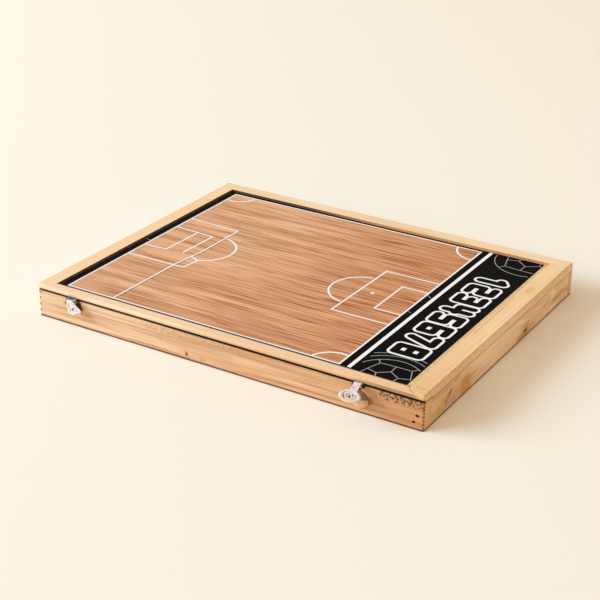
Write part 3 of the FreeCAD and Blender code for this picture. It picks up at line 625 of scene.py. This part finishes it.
# %% Printed draughts board
SQUARES, FIELD_SHARE = 8, 0.94
low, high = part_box("draughts_board_sheet")
middle = (low + high) / 2
square = (high.x - low.x) * FIELD_SHARE / SQUARES
half = square * SQUARES / 2
draughts = Finish("printed_draughts_board")
flat = draughts.lay(draughts.where, (1, 1, 0), (-middle.x, -middle.y, square / 2))
checker = draughts.put("ShaderNodeTexChecker", {"Vector": flat, "Scale": 1 / square}).outputs[1]
grain = draughts.grain((12, 260, 1), 3.0, 0.6)
light = draughts.mix(grain, tone(232, 198, 146), tone(212, 172, 116))
deep = draughts.mix(grain, tone(110, 66, 36), tone(78, 44, 24))
field = inside(draughts, flat, -half, half, -half, half)
draughts.colour = draughts.mix(field, deep, draughts.mix(checker, light, deep))
draughts.rough(grain, 0.15, 0.38)
draughts.bump(grain, 0.1, 0.1)
draughts.dress("draughts_board_sheet")
print("draughts board printed, square", round(square / MM, 1), "mm")

# %% [markdown]
# The fittings are plated steel. Plating is never one clean mirror: it has fine brushing, dull
# fingerprints and a darker tarnish in places. One group gives all three, and each metal uses it
# with its own tones.

# %% Shader group: plating, and the plain metals
plating = Group("Plating", SHADERS, {"Vector": VECTOR, "Bright": COLOUR, "Dull": COLOUR},
                {"Color": COLOUR, "Roughness": NUMBER, "Height": NUMBER})
given = plating.given
brush = plating.noise(plating.lay(given["Vector"], (300, 300, 2600)), 1.0, 3.0, 0.6)
mark = plating.step(plating.noise(given["Vector"], 170.0, 3.0, 0.6), 0.42, 0.72)
plating.give("Color", plating.mix(mark, given["Bright"], given["Dull"]))
plating.give("Roughness", plating.scaled(mark, 0.2, plating.scaled(brush, 0.15, 0.22)))
plating.give("Height", brush)


def metal(name, bright, dull, metallic, matt):
    steel = Finish(name)
    coat = steel.use(plating, {"Vector": steel.where, "Bright": tone(*bright), "Dull": tone(*dull)})
    steel.colour = coat["Color"]
    steel.feed(steel.shader["Roughness"], steel.calc("ADD", coat["Roughness"], matt))
    steel.shader["Metallic"].default_value = metallic
    steel.bump(coat["Height"], 0.15, 0.1)
    return steel


metal("satin_nickel", (226, 212, 206), (196, 180, 176), 0.25, 0.25).dress("left_hasp_tongue")
metal("zinc_plated_steel", (196, 196, 192), (150, 150, 146), 1.0, 0.0).dress(
    "left_hinge_base_leaf", "right_hinge_base_leaf", "left_hinge_lid_leaf", "right_hinge_lid_leaf",
    "left_hinge_pin", "right_hinge_pin", "base_hinge_screws", "lid_hinge_screws")
metal("dark_steel", (84, 76, 78), (52, 46, 46), 0.4, 0.2).dress("left_hasp_knuckle", "left_clasp_pin")
# painted shade: the right bracket, its pin and the clasp screws are near black, standing for the shadow
# beside the strap
metal("blackened_steel", (34, 22, 16), (18, 10, 6), 0.3, 0.3).dress(
    "right_clasp_bracket", "right_clasp_pin", "clasp_screws")
# painted shade: the left stud is near black, standing for the deep shadow to the right of the tongue
metal("tarnished_brass", (52, 32, 18), (28, 16, 8), 0.3, 0.3).dress("left_keeper_stud")
metal("nail_steel", (50, 40, 36), (26, 18, 14), 0.5, 0.2).dress("corner_nails")
print("plain metals ready, group", plating.tree.name, "with", len(plating.tree.nodes), "nodes")

# %% [markdown]
# Four pieces of the clasps have marks of their own. The right strap is mottled, pink where the
# nickel is thin and dark in small pits. The left bracket is dark, but its right end is worn to a
# light grey. The right stud is pale, with a painted shadow of the rosette on its upper edge. The
# rosette is stamped: rings, a dark dot in the middle and a curved slot on either side, and its
# foot takes a painted reflection of the warm wood.

# %% Marked metals
strap = metal("mottled_nickel", (226, 206, 204), (190, 168, 166), 0.25, 0.25)
strap.stain_and_shade(strap.step(strap.noise(strap.where, 520.0), 0.58, 0.68), 0.7, (110, 86, 80))
strap.dress("right_hasp_strap")

bracket = metal("worn_dark_steel", (84, 76, 78), (52, 46, 46), 0.4, 0.2)
worn = bracket.times(bracket.span("X", -179.5, -177.5),
                     bracket.step(bracket.noise(bracket.where, 400.0), 0.62, 0.4))
bracket.stain_and_shade(worn, 1.0, (150, 150, 138))
bracket.dress("left_clasp_bracket")

stud = metal("pale_brass", (228, 182, 136), (210, 160, 112), 0.2, 0.2)
# painted shadow of the rosette on the stud's upper edge
stud.stain_and_shade(stud.span("Z", 14.5, 17.5), 0.85, (104, 58, 26))
stud.dress("right_keeper_stud")

# the rosette's marks lie in shares of its half size; each slot has its middle, radius, thickness,
# and the angles between which it runs
RIPPLES = 26.0
SLOTS = ((0.05, -0.15, 0.0, 0.09, -180, 180), (0.02, -0.05, 0.3, 0.06, -70, 60),
         (-0.1, -0.1, 0.45, 0.05, 160, 235))
low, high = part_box("right_hasp_rosette")
rosette = metal("stamped_nickel", (234, 224, 216), (208, 196, 186), 0.25, 0.25)
flat = rosette.vector("SUBTRACT", rosette.where, (low + high) / 2)
at = rosette.axes(rosette.vector("DIVIDE", flat, (high - low) / 2))
ripple = rosette.calc("SINE", rosette.times(rosette.length(at["X"], at["Y"]), RIPPLES))
rosette.stain_and_shade(rosette.step(ripple, 0.2, 0.9), 0.35, (150, 138, 130))
# painted reflection: the rosette's foot takes the warm tone of the wood
rosette.stain_and_shade(rosette.step(at["Y"], -0.15, -0.75), 0.75, (226, 184, 146))
for left, up, size, thick, start, end in SLOTS:
    across, along = rosette.minus(at["X"], left), rosette.minus(at["Y"], up)
    radius = rosette.length(across, along)
    middle, reach = math.radians((start + end) / 2), math.radians((end - start) / 2)
    facing = rosette.calc("ADD", rosette.times(across, math.cos(middle)),
                          rosette.times(along, math.sin(middle)))
    ahead = rosette.minus(facing, rosette.times(radius, math.cos(reach)))
    slot = rosette.step(rosette.calc("ABSOLUTE", rosette.minus(radius, size)), thick * 1.4, thick * 0.7)
    rosette.stain_and_shade(rosette.times(slot, rosette.step(ahead, -0.02, 0.01)), 0.9, (58, 44, 36))
rosette.dress("right_hasp_rosette")
print("marked metals ready, rosette with", len(SLOTS), "slots")

# %% [markdown]
# The white lines on the pitch are drawn, so they are lines here too. A tree of Geometry Nodes
# turns a chain of edges into a curve and sweeps a flat strip along it, a hair above the print.
# The width is an input, so one tree draws thin lines, thick arcs and the broad stripe. A switch
# adds a disc on every point of the chain, for strokes with round ends.

# %% Geometry Nodes: a painted line
DISC_SIDES, DISC_LIFT = 24, 0.001 * MM
lines = Group("Painted line", SHAPES,
              {"Chains": GEOMETRY, "Width": NUMBER, "Lift": NUMBER, "Round": SWITCH, "Paint": MATERIAL},
              {"Lines": GEOMETRY})
given = lines.given
half = lines.times(given["Width"], 0.5)
curve = lines.add("GeometryNodeMeshToCurve", {"Mesh": given["Chains"]})
curve = lines.add("GeometryNodeSetCurveNormal", {"Curve": curve}, mode="Z_UP")
ends = {"Start": lines.combine(X=half), "End": lines.combine(X=lines.times(half, -1.0))}
section = lines.add("GeometryNodeCurvePrimitiveLine", ends)
strip = lines.add("GeometryNodeCurveToMesh", {"Curve": curve, "Profile Curve": section})
strip = lines.add("GeometryNodeFlipFaces", {"Mesh": strip})
strip = lines.add("GeometryNodeSetPosition", {"Geometry": strip, "Offset": lines.combine(Z=given["Lift"])})
disc = lines.add("GeometryNodeMeshCircle", {"Vertices": DISC_SIDES, "Radius": half}, fill_type="NGON")
dots = lines.add("GeometryNodeInstanceOnPoints",
                 {"Points": given["Chains"], "Selection": given["Round"], "Instance": disc})
above = lines.combine(Z=lines.calc("ADD", given["Lift"], DISC_LIFT))
dots = lines.add("GeometryNodeTranslateInstances", {"Instances": dots, "Translation": above})
joined = lines.put("GeometryNodeJoinGeometry")
for part in (strip, dots):
    lines.feed(joined.inputs[0], part)
drawn = lines.add("GeometryNodeRealizeInstances", {"Geometry": joined.outputs[0]})
lines.give("Lines", lines.add("GeometryNodeSetMaterial", {"Geometry": drawn, "Material": given["Paint"]}))


def keep(name, mesh, body):
    """Puts a mesh in the scene as a piece that rides on a body."""
    mesh.name = name
    piece = bpy.data.objects.new(name, mesh)
    scene.collection.objects.link(piece)
    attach(piece, body)
    return piece


def grow(name, source, group, values, body):
    """Runs a tree on a mesh and keeps the result as a plain mesh."""
    host = bpy.data.objects.new(name + "_source", source)
    scene.collection.objects.link(host)
    modifier = host.modifiers.new("tree", "NODES")
    modifier.node_group = group.tree
    for item in group.tree.interface.items_tree:
        if item.in_out == "INPUT" and item.name in values:
            modifier[item.identifier] = values[item.name]
    graph = bpy.context.evaluated_depsgraph_get()
    mesh = bpy.data.meshes.new_from_object(host.evaluated_get(graph))
    bpy.data.objects.remove(host)
    return keep(name, mesh, body)


print("line tree with", len(lines.tree.nodes), "nodes")

# %% [markdown]
# Every drawing on the print is a set of chains, in millimetres on the lid. Straight strokes are
# lengthened by half a width at both ends, so that two of them meet in a square corner. Strokes
# that cross lie in thin layers of their own, so that no two faces share a plane. White ink draws
# the pitch and grey ink the drawings at its end; both are slightly flecked.

# %% Strokes, arcs and ink
LAYER = 0.002 * MM
sheet_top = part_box("pitch_sheet")[1].z


def stroke(a, b, width=0.0):
    a, b = Vector(a), Vector(b)
    over = (b - a).normalized() * width / 2
    return [a - over, b + over]


def path(points, width):
    return [stroke(a, b, width) for a, b in zip(points, points[1:])]


def arc(centre, radius, start, end, steps=48):
    turns = [math.radians(start + (end - start) * i / steps) for i in range(steps + 1)]
    return [Vector((centre[0] + radius * math.cos(t), centre[1] + radius * math.sin(t))) for t in turns]


def draw(name, chains, width, lift, ink, rounded=False):
    """Draws chains on the lid's print, each in a layer of its own."""
    mesh = bpy.data.meshes.new(name)
    verts, edges = [], []
    for index, chain in enumerate(chains):
        first = len(verts)
        verts += [(p.x * MM, p.y * MM, sheet_top + index * LAYER) for p in chain]
        edges += [(first + i, first + i + 1) for i in range(len(chain) - 1)]
    mesh.from_pydata(verts, edges, [])
    values = {"Width": width * MM, "Lift": lift * MM, "Round": rounded, "Paint": ink}
    grow(name, mesh, lines, values, "lid")


def flecked_ink(name, pale, deep, scale):
    ink = Finish(name)
    fleck = ink.noise(ink.where, scale, 3.0, 0.6)
    ink.colour = ink.mix(fleck, tone(*pale), tone(*deep))
    ink.rough(fleck, 0.15, 0.4)
    return ink.done()


white_print = flecked_ink("white_line_print", (255, 255, 255), (249, 249, 251), 700.0)
grey_print = flecked_ink("grey_line_print", (214, 212, 210), (120, 118, 118), 260.0)
print("inks", white_print.name, grey_print.name, "on a sheet at", round(sheet_top / MM, 2), "mm")

# %% [markdown]
# The markings are those of any football pitch: border, penalty and goal areas, arcs and corners.
# On the real print they aren't quite square, so their corners are given one by one. A broad stripe
# parts the pitch from the banner.

# %% Pitch markings
THIN, THICK, STRIPE = 2.0, 2.2, 4.2
OUTLINES = (
    ((PITCH_LEFT, PITCH_BACK), (PITCH_RIGHT, PITCH_BACK), (PITCH_RIGHT, PITCH_FRONT),
     (PITCH_LEFT, PITCH_FRONT), (PITCH_LEFT, PITCH_BACK)),
    ((-202.4, 62.1), (-135.6, 59.3)),
    ((-200.9, -58.9), (-128.5, -58.1), (-125.5, -35.1)),
    ((PITCH_LEFT, 32.9), (-150.3, 29.7), (-152.5, -24.7)),
    ((-171.8, 29.1), (-173.9, -27.5), (-201.5, -28.2)),
    FOLD,
    ((128, 52.9), (64.5, 52.9), (62, -62.3), (128, -62.3)),
    ((128, 26), (98, 26), (98, -36), (128, -36)))
thin = [piece for outline in OUTLINES for piece in path(outline, THIN)]
arcs = [arc((-139, -1.5), 35.4, 80, -68), arc((66.7, -6.4), 35.5, 99.5, 259.5),
        arc((-194, 155), 19, 250, 367), arc((129.6, 159.5), 28.9, 184, 268),
        arc((122.8, -167.4), 25.2, 78, 166), stroke((-125.5, -35.1), (-139, -29.3))]
draw("pitch_thin_lines", thin, THIN, 0.02, white_print)
draw("pitch_arcs", arcs, THICK, 0.08, white_print)
draw("banner_stripe", [stroke((140, -163), (140, 161))], STRIPE, 0.02, white_print)
print("markings drawn:", len(thin), "strokes,", len(arcs), "arcs")

# %% [markdown]
# In two corners of the banner stand thin grey drawings of a ball, cut off by the banner's edge. A
# ball seen from the front is a circle with a pentagon, five spokes, and a fork on every spoke, so
# a loop over the five draws it. The runs of a line that lie inside the banner are kept. Two arcs
# follow the near ball, and short ticks stand in the margin at both ends of the pitch.

# %% Banner art
ART = 0.8
SEAM_STEPS = 30
low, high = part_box("pitch_sheet")
BANNER = (145.5, high.x / MM - 0.8, low.y / MM + 0.8, high.y / MM - 0.8)
NEAR_BALL, FAR_BALL = (179, -162), (188, 160)


def clipped(chain):
    """The runs of a chain that lie inside the banner."""
    left, right, front, back = BANNER
    runs = [[]]
    for p in chain:
        if left < p.x < right and front < p.y < back:
            runs[-1].append(p)
        elif runs[-1]:
            runs.append([])
    return [run for run in runs if len(run) > 1]


def football(centre, size, turn):
    """The outline and the seams of a ball."""
    def at(share, degrees):
        a = math.radians(turn + degrees)
        return Vector((centre[0] + size * share * math.cos(a), centre[1] + size * share * math.sin(a)))
    chains = [arc(centre, size, 0, 360, 120)]
    for spoke in range(0, 360, 72):
        corner, fork, foot = at(0.34, spoke), at(0.66, spoke), at(0.8, spoke + 36)
        for a, b in ((corner, at(0.34, spoke + 72)), (corner, fork), (fork, foot),
                     (fork, at(0.8, spoke - 36)), (foot, at(1, spoke + 36))):
            chains.append([a.lerp(b, k / SEAM_STEPS) for k in range(SEAM_STEPS + 1)])
    return chains


art = football(NEAR_BALL, 36, 20) + football(FAR_BALL, 40, 50)
art += [arc(NEAR_BALL, radius, 60, 170) for radius in (44, 50)]
art = [run for chain in art for run in clipped(chain)]
art += [stroke((-211, -15.2), (-204.5, -17.1)), stroke((129.4, 22), (136.1, 17.1)),
        stroke((131.2, -24.2), (135.2, -26.4))]
draw("banner_art", art, ART, 0.03, grey_print)
print("banner art drawn:", len(art), "lines")

# %% [markdown]
# The penalty spot is the one mark that is filled, not drawn along a line. It needs no tree: a
# single round face, a hair above the print, is enough.

# %% Penalty spot
SPOT_PLACE, SPOT_RADIUS, SPOT_LIFT, SPOT_SIDES = (78.6, -5.1), 2.2, 0.03, 32
rim = arc(SPOT_PLACE, SPOT_RADIUS, 0, 360, SPOT_SIDES)[:-1]
verts = [(p.x * MM, p.y * MM, sheet_top + SPOT_LIFT * MM) for p in rim]
spot = bpy.data.meshes.new("penalty_spot")
spot.from_pydata(verts, [], [list(range(SPOT_SIDES))])
spot.materials.append(white_print)
keep("penalty_spot", spot, "lid")
print("penalty spot with", SPOT_SIDES, "sides")

# %% [markdown]
# The banner at the end holds a score track: plain block numerals with a white outline, which
# read from the back to the front. A font would do, but fattened letters close up. Here each
# numeral is a few straight strokes with round ends, as a felt pen would draw it. The same line
# tree draws it twice: a broad white pass, and a narrower black pass a hair above it.

# %% Score numerals
FAT, OUTLINE = 8.6, 2.8
TRACK_START, NUMERAL_STEP = (160.1, 96.9), 27.4
WIDE, TALL, MID = 14.6, 26.8, 13.4
NUMERALS = [
    [(3, TALL - 4.5, 9, TALL), (9, TALL, 9, 0)],
    [(0, TALL, WIDE, TALL), (WIDE, TALL, WIDE, MID), (WIDE, MID, 0, MID), (0, MID, 0, 0), (0, 0, WIDE, 0)],
    [(0, TALL, WIDE, TALL), (WIDE, TALL, WIDE, 0), (WIDE, 0, 0, 0), (4, MID, WIDE, MID)],
    [(0, TALL, 0, MID - 1.5), (0, MID - 1.5, WIDE, MID - 1.5), (WIDE - 3, TALL, WIDE - 3, 0)],
    [(WIDE, TALL, 0, TALL), (0, TALL, 0, MID), (0, MID, WIDE, MID), (WIDE, MID, WIDE, 0), (WIDE, 0, 0, 0)],
    [(WIDE, TALL, 0, TALL), (0, TALL, 0, 0), (0, 0, WIDE, 0), (WIDE, 0, WIDE, MID), (WIDE, MID, 0, MID)],
    [(0, TALL, WIDE, TALL), (WIDE, TALL, 5, 0)],
    [(0, 0, WIDE, 0), (WIDE, 0, WIDE, TALL), (WIDE, TALL, 0, TALL), (0, TALL, 0, 0), (0, MID, WIDE, MID)],
]


def on_track(index, right, up):
    return Vector((TRACK_START[0] + up, TRACK_START[1] - index * NUMERAL_STEP - right))


black_ink = Finish("black_numeral_print")
black_ink.colour = black_print(black_ink)
strokes = [[on_track(index, *ends[:2]), on_track(index, *ends[2:])]
           for index, numeral in enumerate(NUMERALS) for ends in numeral]
draw("score_numeral_outlines", strokes, FAT + 2 * OUTLINE, 0.05, white_print, rounded=True)
draw("score_numerals", strokes, FAT, 0.15, black_ink.done(), rounded=True)
print("numerals drawn:", len(NUMERALS), "of", len(strokes), "strokes")

# %% [markdown]
# The tray holds twelve light and twelve dark draughtsmen, two teams of five discs and a ball.
# A tree of Geometry Nodes sets the discs out in rows and turns each one at random, as a hand would
# leave them. The numbers of columns and rows are inputs, so one tree serves all four sets.

# %% Geometry Nodes: rows of pieces
FULL_TURN, TURN_SEED = 6.2832, 7
rows = Group("Rows of pieces", SHAPES,
             {"Piece": GEOMETRY, "Columns": COUNT, "Rows": COUNT, "Pitch": NUMBER, "Middle": VECTOR,
              "Paint": MATERIAL}, {"Pieces": GEOMETRY})
given = rows.given
index = rows.add("GeometryNodeInputIndex")
column = rows.calc("FLOORED_MODULO", index, given["Columns"])
row = rows.calc("FLOOR", rows.calc("DIVIDE", index, given["Columns"]))
places = []
for number, total in ((column, given["Columns"]), (row, given["Rows"])):
    middle = rows.times(rows.minus(total, 1.0), 0.5)
    places.append(rows.times(rows.minus(number, middle), given["Pitch"]))
place = rows.vector("ADD", rows.combine(X=places[0], Y=places[1]), given["Middle"])
points = rows.add("GeometryNodeMeshLine", {"Count": rows.times(given["Columns"], given["Rows"])})
points = rows.add("GeometryNodeSetPosition", {"Geometry": points, "Position": place})
turn = rows.put("FunctionNodeRandomValue", {"Min": 0.0, "Max": FULL_TURN, "Seed": TURN_SEED},
                data_type="FLOAT")
turn = rows.combine(Z=next(socket for socket in turn.outputs if socket.enabled))
pieces = rows.add("GeometryNodeInstanceOnPoints",
                  {"Points": points, "Instance": given["Piece"], "Rotation": turn})
pieces = rows.add("GeometryNodeRealizeInstances", {"Geometry": pieces})
rows.give("Pieces", rows.add("GeometryNodeSetMaterial", {"Geometry": pieces, "Material": given["Paint"]}))
print("rows tree with", len(rows.tree.nodes), "nodes")

# %% [markdown]
# All discs are turned on a lathe, so one profile spun round gives the piece. The profile runs from
# the middle of the foot over a rounded edge to a raised rim, and back to the middle over a dished
# face with two rings. It starts and ends on the axis, which closes the shape.

# %% A turned disc
def turned(name, profile, sides=40):
    """Spins a profile of radius and height round Z."""
    mesh = bpy.data.meshes.new(name)
    angles = [2 * math.pi * i / sides for i in range(sides)]
    verts = [(0, 0, profile[0][1])]
    verts += [(r * math.cos(a), r * math.sin(a), z) for r, z in profile[1:-1] for a in angles]
    verts.append((0, 0, profile[-1][1]))
    faces = []
    for i in range(sides):
        j = (i + 1) % sides
        faces.append((0, 1 + j, 1 + i))
        for k in range(len(profile) - 3):
            a = 1 + k * sides
            faces.append((a + i, a + j, a + sides + j, a + sides + i))
        top = 1 + (len(profile) - 3) * sides
        faces.append((top + i, top + j, len(verts) - 1))
    mesh.from_pydata(verts, [], faces)
    mesh.shade_smooth()
    mesh.set_sharp_from_angle(angle=math.radians(40))
    return mesh


def disc_profile(radius, height, rim, dish):
    edge, soft, slope, ring = 0.8 * MM, 0.25 * MM, 0.2 * MM, 0.7 * MM
    inner, floor = radius - rim, height - dish
    profile = [(0, 0), (radius - edge, 0), (radius - soft, soft), (radius, edge), (radius, height - edge),
               (radius - soft, height - soft), (radius - edge, height), (inner, height),
               (inner - slope, floor)]
    for share in (0.62, 0.34):
        r = inner * share
        profile += [(r + ring, floor), (r, floor + dish * 0.7), (r - ring, floor)]
    return profile + [(0, floor)]


print("disc profile with", len(disc_profile(1, 1, 0, 0)), "points")

# %% [markdown]
# The draughtsmen are bare wood, light beech and dark walnut; the team discs are painted, and the
# paint is worn through in chips. The ball is a turned wooden bead with two inked seams.

# %% Finishes of the game pieces
def turned_wood(name):
    wood = Finish(name)
    grain = wood.grain((60, 900, 300), 3.0, 0.6)
    wood.rough(grain, 0.2, 0.32)
    wood.bump(grain, 0.2, 0.2)
    return wood, grain


def piece_wood(name, pale, deep):
    wood, grain = turned_wood(name)
    wood.colour = wood.mix(wood.step(grain, 0.35, 0.7), tone(*pale), tone(*deep))
    wood.stain_and_shade(wood.noise(wood.where, 45.0), 0.4, deep)
    return wood.done()


def piece_paint(name, tint, shade):
    paint = Finish(name)
    chips = paint.step(paint.noise(paint.where, 230.0, 4.0, 0.65), 0.62, 0.66)
    paint.colour = paint.mix(paint.noise(paint.where, 70.0, 3.0), tone(*tint), tone(*shade))
    paint.stain_and_shade(chips, 1.0, (212, 170, 118))
    paint.rough(chips, 0.3, 0.28)
    paint.bump(paint.minus(1.0, chips), 0.2, 0.1)
    return paint.done()


beech = piece_wood("beech", (232, 200, 150), (206, 164, 108))
walnut = piece_wood("walnut", (104, 66, 40), (66, 40, 24))
red = piece_paint("red_paint", (186, 38, 30), (150, 24, 20))
blue = piece_paint("blue_paint", (38, 74, 150), (24, 50, 112))

low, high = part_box("ball")
ball, grain = turned_wood("beech_ball")
at = ball.axes(ball.vector("SUBTRACT", ball.where, (low + high) / 2))
seam = ball.calc("MINIMUM", ball.calc("ABSOLUTE", at["X"]),
                 ball.calc("ABSOLUTE", ball.minus(at["Y"], 0.5 * MM)))
ball.colour = ball.mix(grain, tone(236, 206, 160), tone(212, 172, 118))
ball.stain_and_shade(ball.step(seam, 0.35 * MM, 0.2 * MM), 1.0, (60, 38, 26))
ball.dress("ball")
print("finishes", [paint.name for paint in (beech, walnut, red, blue, ball.material)])

# %% [markdown]
# The packed model has plain discs in these places. Their box gives the radius and the pitch of
# the turned ones: a block of draughtsmen is three wide and four deep, so the difference of its
# sides is one pitch, and a row of team discs is one disc deep.

# %% Game pieces
SETS = (("light_draughtsmen", 3, 4, 3.0, 0.8, beech, "light_wood"),
        ("dark_draughtsmen", 3, 4, 3.0, 0.8, walnut, "dark_wood"),
        ("home_team_discs", 5, 1, 2.4, 0.6, red, "red_paint"),
        ("away_team_discs", 5, 1, 2.4, 0.6, blue, "blue_paint"))
for name, columns, deep, rim, dish, paint, slot in SETS:
    low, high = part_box(name)
    size = high - low
    if deep > 1:
        pitch = (size.y - size.x) / (deep - columns)
        radius = (size.x - (columns - 1) * pitch) / 2
    else:
        radius = size.y / 2
        pitch = (size.x - 2 * radius) / (columns - 1)
    middle = Vector(((low.x + high.x) / 2, (low.y + high.y) / 2, low.z))
    piece = turned(name + "_piece", disc_profile(radius, size.z, rim * MM, dish * MM))
    values = {"Columns": columns, "Rows": deep, "Pitch": pitch, "Middle": middle, "Paint": paint}
    made = grow(name + "_turned", piece, rows, values, "base")
    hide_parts(name)
    print(name, columns * deep, "pieces of", len(piece.polygons), "faces")

# %% [markdown]
# Two small repairs on the tray: the left front nails are hidden under putty that was stained like
# the wall, and a sliver of pine closes the right end of the gap below the lid. Both use the wall's
# own finish; it follows the object's coordinates, so the grain runs on across them.

# %% Putty and sliver
PLUG_PROFILE = [(0, 0), (1.3 * MM, 0), (1.55 * MM, 0.62 * MM), (1.0 * MM, 0.72 * MM), (0, 0.74 * MM)]
WELL_FLOOR = -179.35
plugs = bmesh.new()
for x, z in ((-223.0, 15.1), (-219.8, 8.0)):
    plug = turned("putty_plug", PLUG_PROFILE, 24)
    place = Matrix.Translation((x * MM, WELL_FLOOR * MM, z * MM))
    plug.transform(place @ Matrix.Rotation(math.pi / 2, 4, "X"))
    plugs.from_mesh(plug)
mesh = bpy.data.meshes.new("nail_putty")
plugs.to_mesh(mesh)
plugs.free()
mesh.materials.append(front_pine)
keep("nail_putty", mesh, "base")

SLIVER = [(-177.3, 30.82), (-164.2, 30.82), (-164.2, 32.35), (-165.0, 32.5), (-176.4, 32.5), (-177.3, 32.2)]
SLIVER_ENDS = (226.0, 229.9)
count = len(SLIVER)
verts = [(x * MM, y * MM, z * MM) for x in SLIVER_ENDS for y, z in SLIVER]
faces = [list(range(count))[::-1], list(range(count, 2 * count))]
faces += [(i, (i + 1) % count, count + (i + 1) % count, count + i) for i in range(count)]
mesh = bpy.data.meshes.new("corner_sliver")
mesh.from_pydata(verts, [], faces)
mesh.materials.append(front_pine)
keep("corner_sliver", mesh, "base")
print("putty and sliver added,", count, "corners on the sliver")

# %% [markdown]
# The camera stands where a photographer would, at the front right and a little above, with a
# long lens. Its place and turn are set as one matrix, from the angles round the object.

# %% Camera
CAMERA_PLACE = (0.721724, -1.210623, 0.669750)
AZIMUTH, ELEVATION, ROLL = 31.27955, 25.26501, 0.60402
FOCAL_LENGTH, SENSOR_WIDTH = 85.6065, 36.0
azimuth, elevation, roll = (math.radians(angle) for angle in (AZIMUTH, ELEVATION, ROLL))
level = Vector((math.cos(azimuth), math.sin(azimuth), 0))
back = Vector((math.sin(azimuth) * math.cos(elevation), -math.cos(azimuth) * math.cos(elevation),
               math.sin(elevation)))
upright = back.cross(level)
right = math.cos(roll) * level + math.sin(roll) * upright
up = math.cos(roll) * upright - math.sin(roll) * level
lens = bpy.data.cameras.new("camera")
lens.lens, lens.sensor_width = FOCAL_LENGTH, SENSOR_WIDTH
camera = bpy.data.objects.new("camera", lens)
scene.collection.objects.link(camera)
camera.matrix_world = Matrix.Translation(CAMERA_PLACE) @ Matrix((right, up, back)).transposed().to_4x4()
scene.camera = camera
print("camera at", [round(v, 3) for v in CAMERA_PLACE])

# %% [markdown]
# The studio is a pale ivory floor, one large soft light low on the left, which lays a long soft
# shadow to the right, and a dim warm sky that fills the shadows. The camera and the metal see a
# paler sky than the one that lights the case, so that the background stays ivory.

# %% Studio
FLOOR_HALF = 9
SOFTBOX_PLACE, SOFTBOX_SIZE = (-6.10, -3.96, 3.32), (6.4, 3.6)
SOFTBOX_WATTS, SOFTBOX_COLOUR = 872, (0.62, 0.80, 0.97)
SKY_LIGHT, SKY_SEEN = (0.655, 0.54, 0.428, 1.0), (250, 242, 226)
floor_mesh = bpy.data.meshes.new("studio_floor")
corners = [(x * FLOOR_HALF, y * FLOOR_HALF, 0) for x, y in ((-1, -1), (1, -1), (1, 1), (-1, 1))]
floor_mesh.from_pydata(corners, [], [(0, 1, 2, 3)])
floor = bpy.data.objects.new("studio_floor", floor_mesh)
scene.collection.objects.link(floor)
ivory = Finish("ivory_floor")
ivory.colour = ivory.mix(ivory.noise(ivory.where, 1.5), tone(254, 249, 235), tone(253, 248, 233))
ivory.shader["Roughness"].default_value = 0.9
ivory.gloss(0.1)
floor_mesh.materials.append(ivory.done())

light = bpy.data.lights.new("left_softbox", "AREA")
light.shape = "RECTANGLE"
light.size, light.size_y = SOFTBOX_SIZE
light.energy, light.color = SOFTBOX_WATTS, SOFTBOX_COLOUR
lamp = bpy.data.objects.new("left_softbox", light)
scene.collection.objects.link(lamp)
lamp.location = SOFTBOX_PLACE
lamp.rotation_euler = (-Vector(SOFTBOX_PLACE)).to_track_quat("-Z", "Y").to_euler()

world = bpy.data.worlds.new("studio_sky")
scene.world = world
world.use_nodes = True
sky = Network(world.node_tree)
rays = sky.put("ShaderNodeLightPath").outputs
mirrored = sky.calc("MAXIMUM", rays["Is Glossy Ray"], rays["Is Transmission Ray"])
seen = sky.calc("MAXIMUM", rays["Is Camera Ray"], mirrored)
sky.feed(sky.tree.nodes["Background"].inputs["Color"], sky.mix(seen, SKY_LIGHT, tone(*SKY_SEEN)))
scene.view_settings.view_transform = "Standard"
print("studio lit by", len(bpy.data.lights), "lamp and the sky")
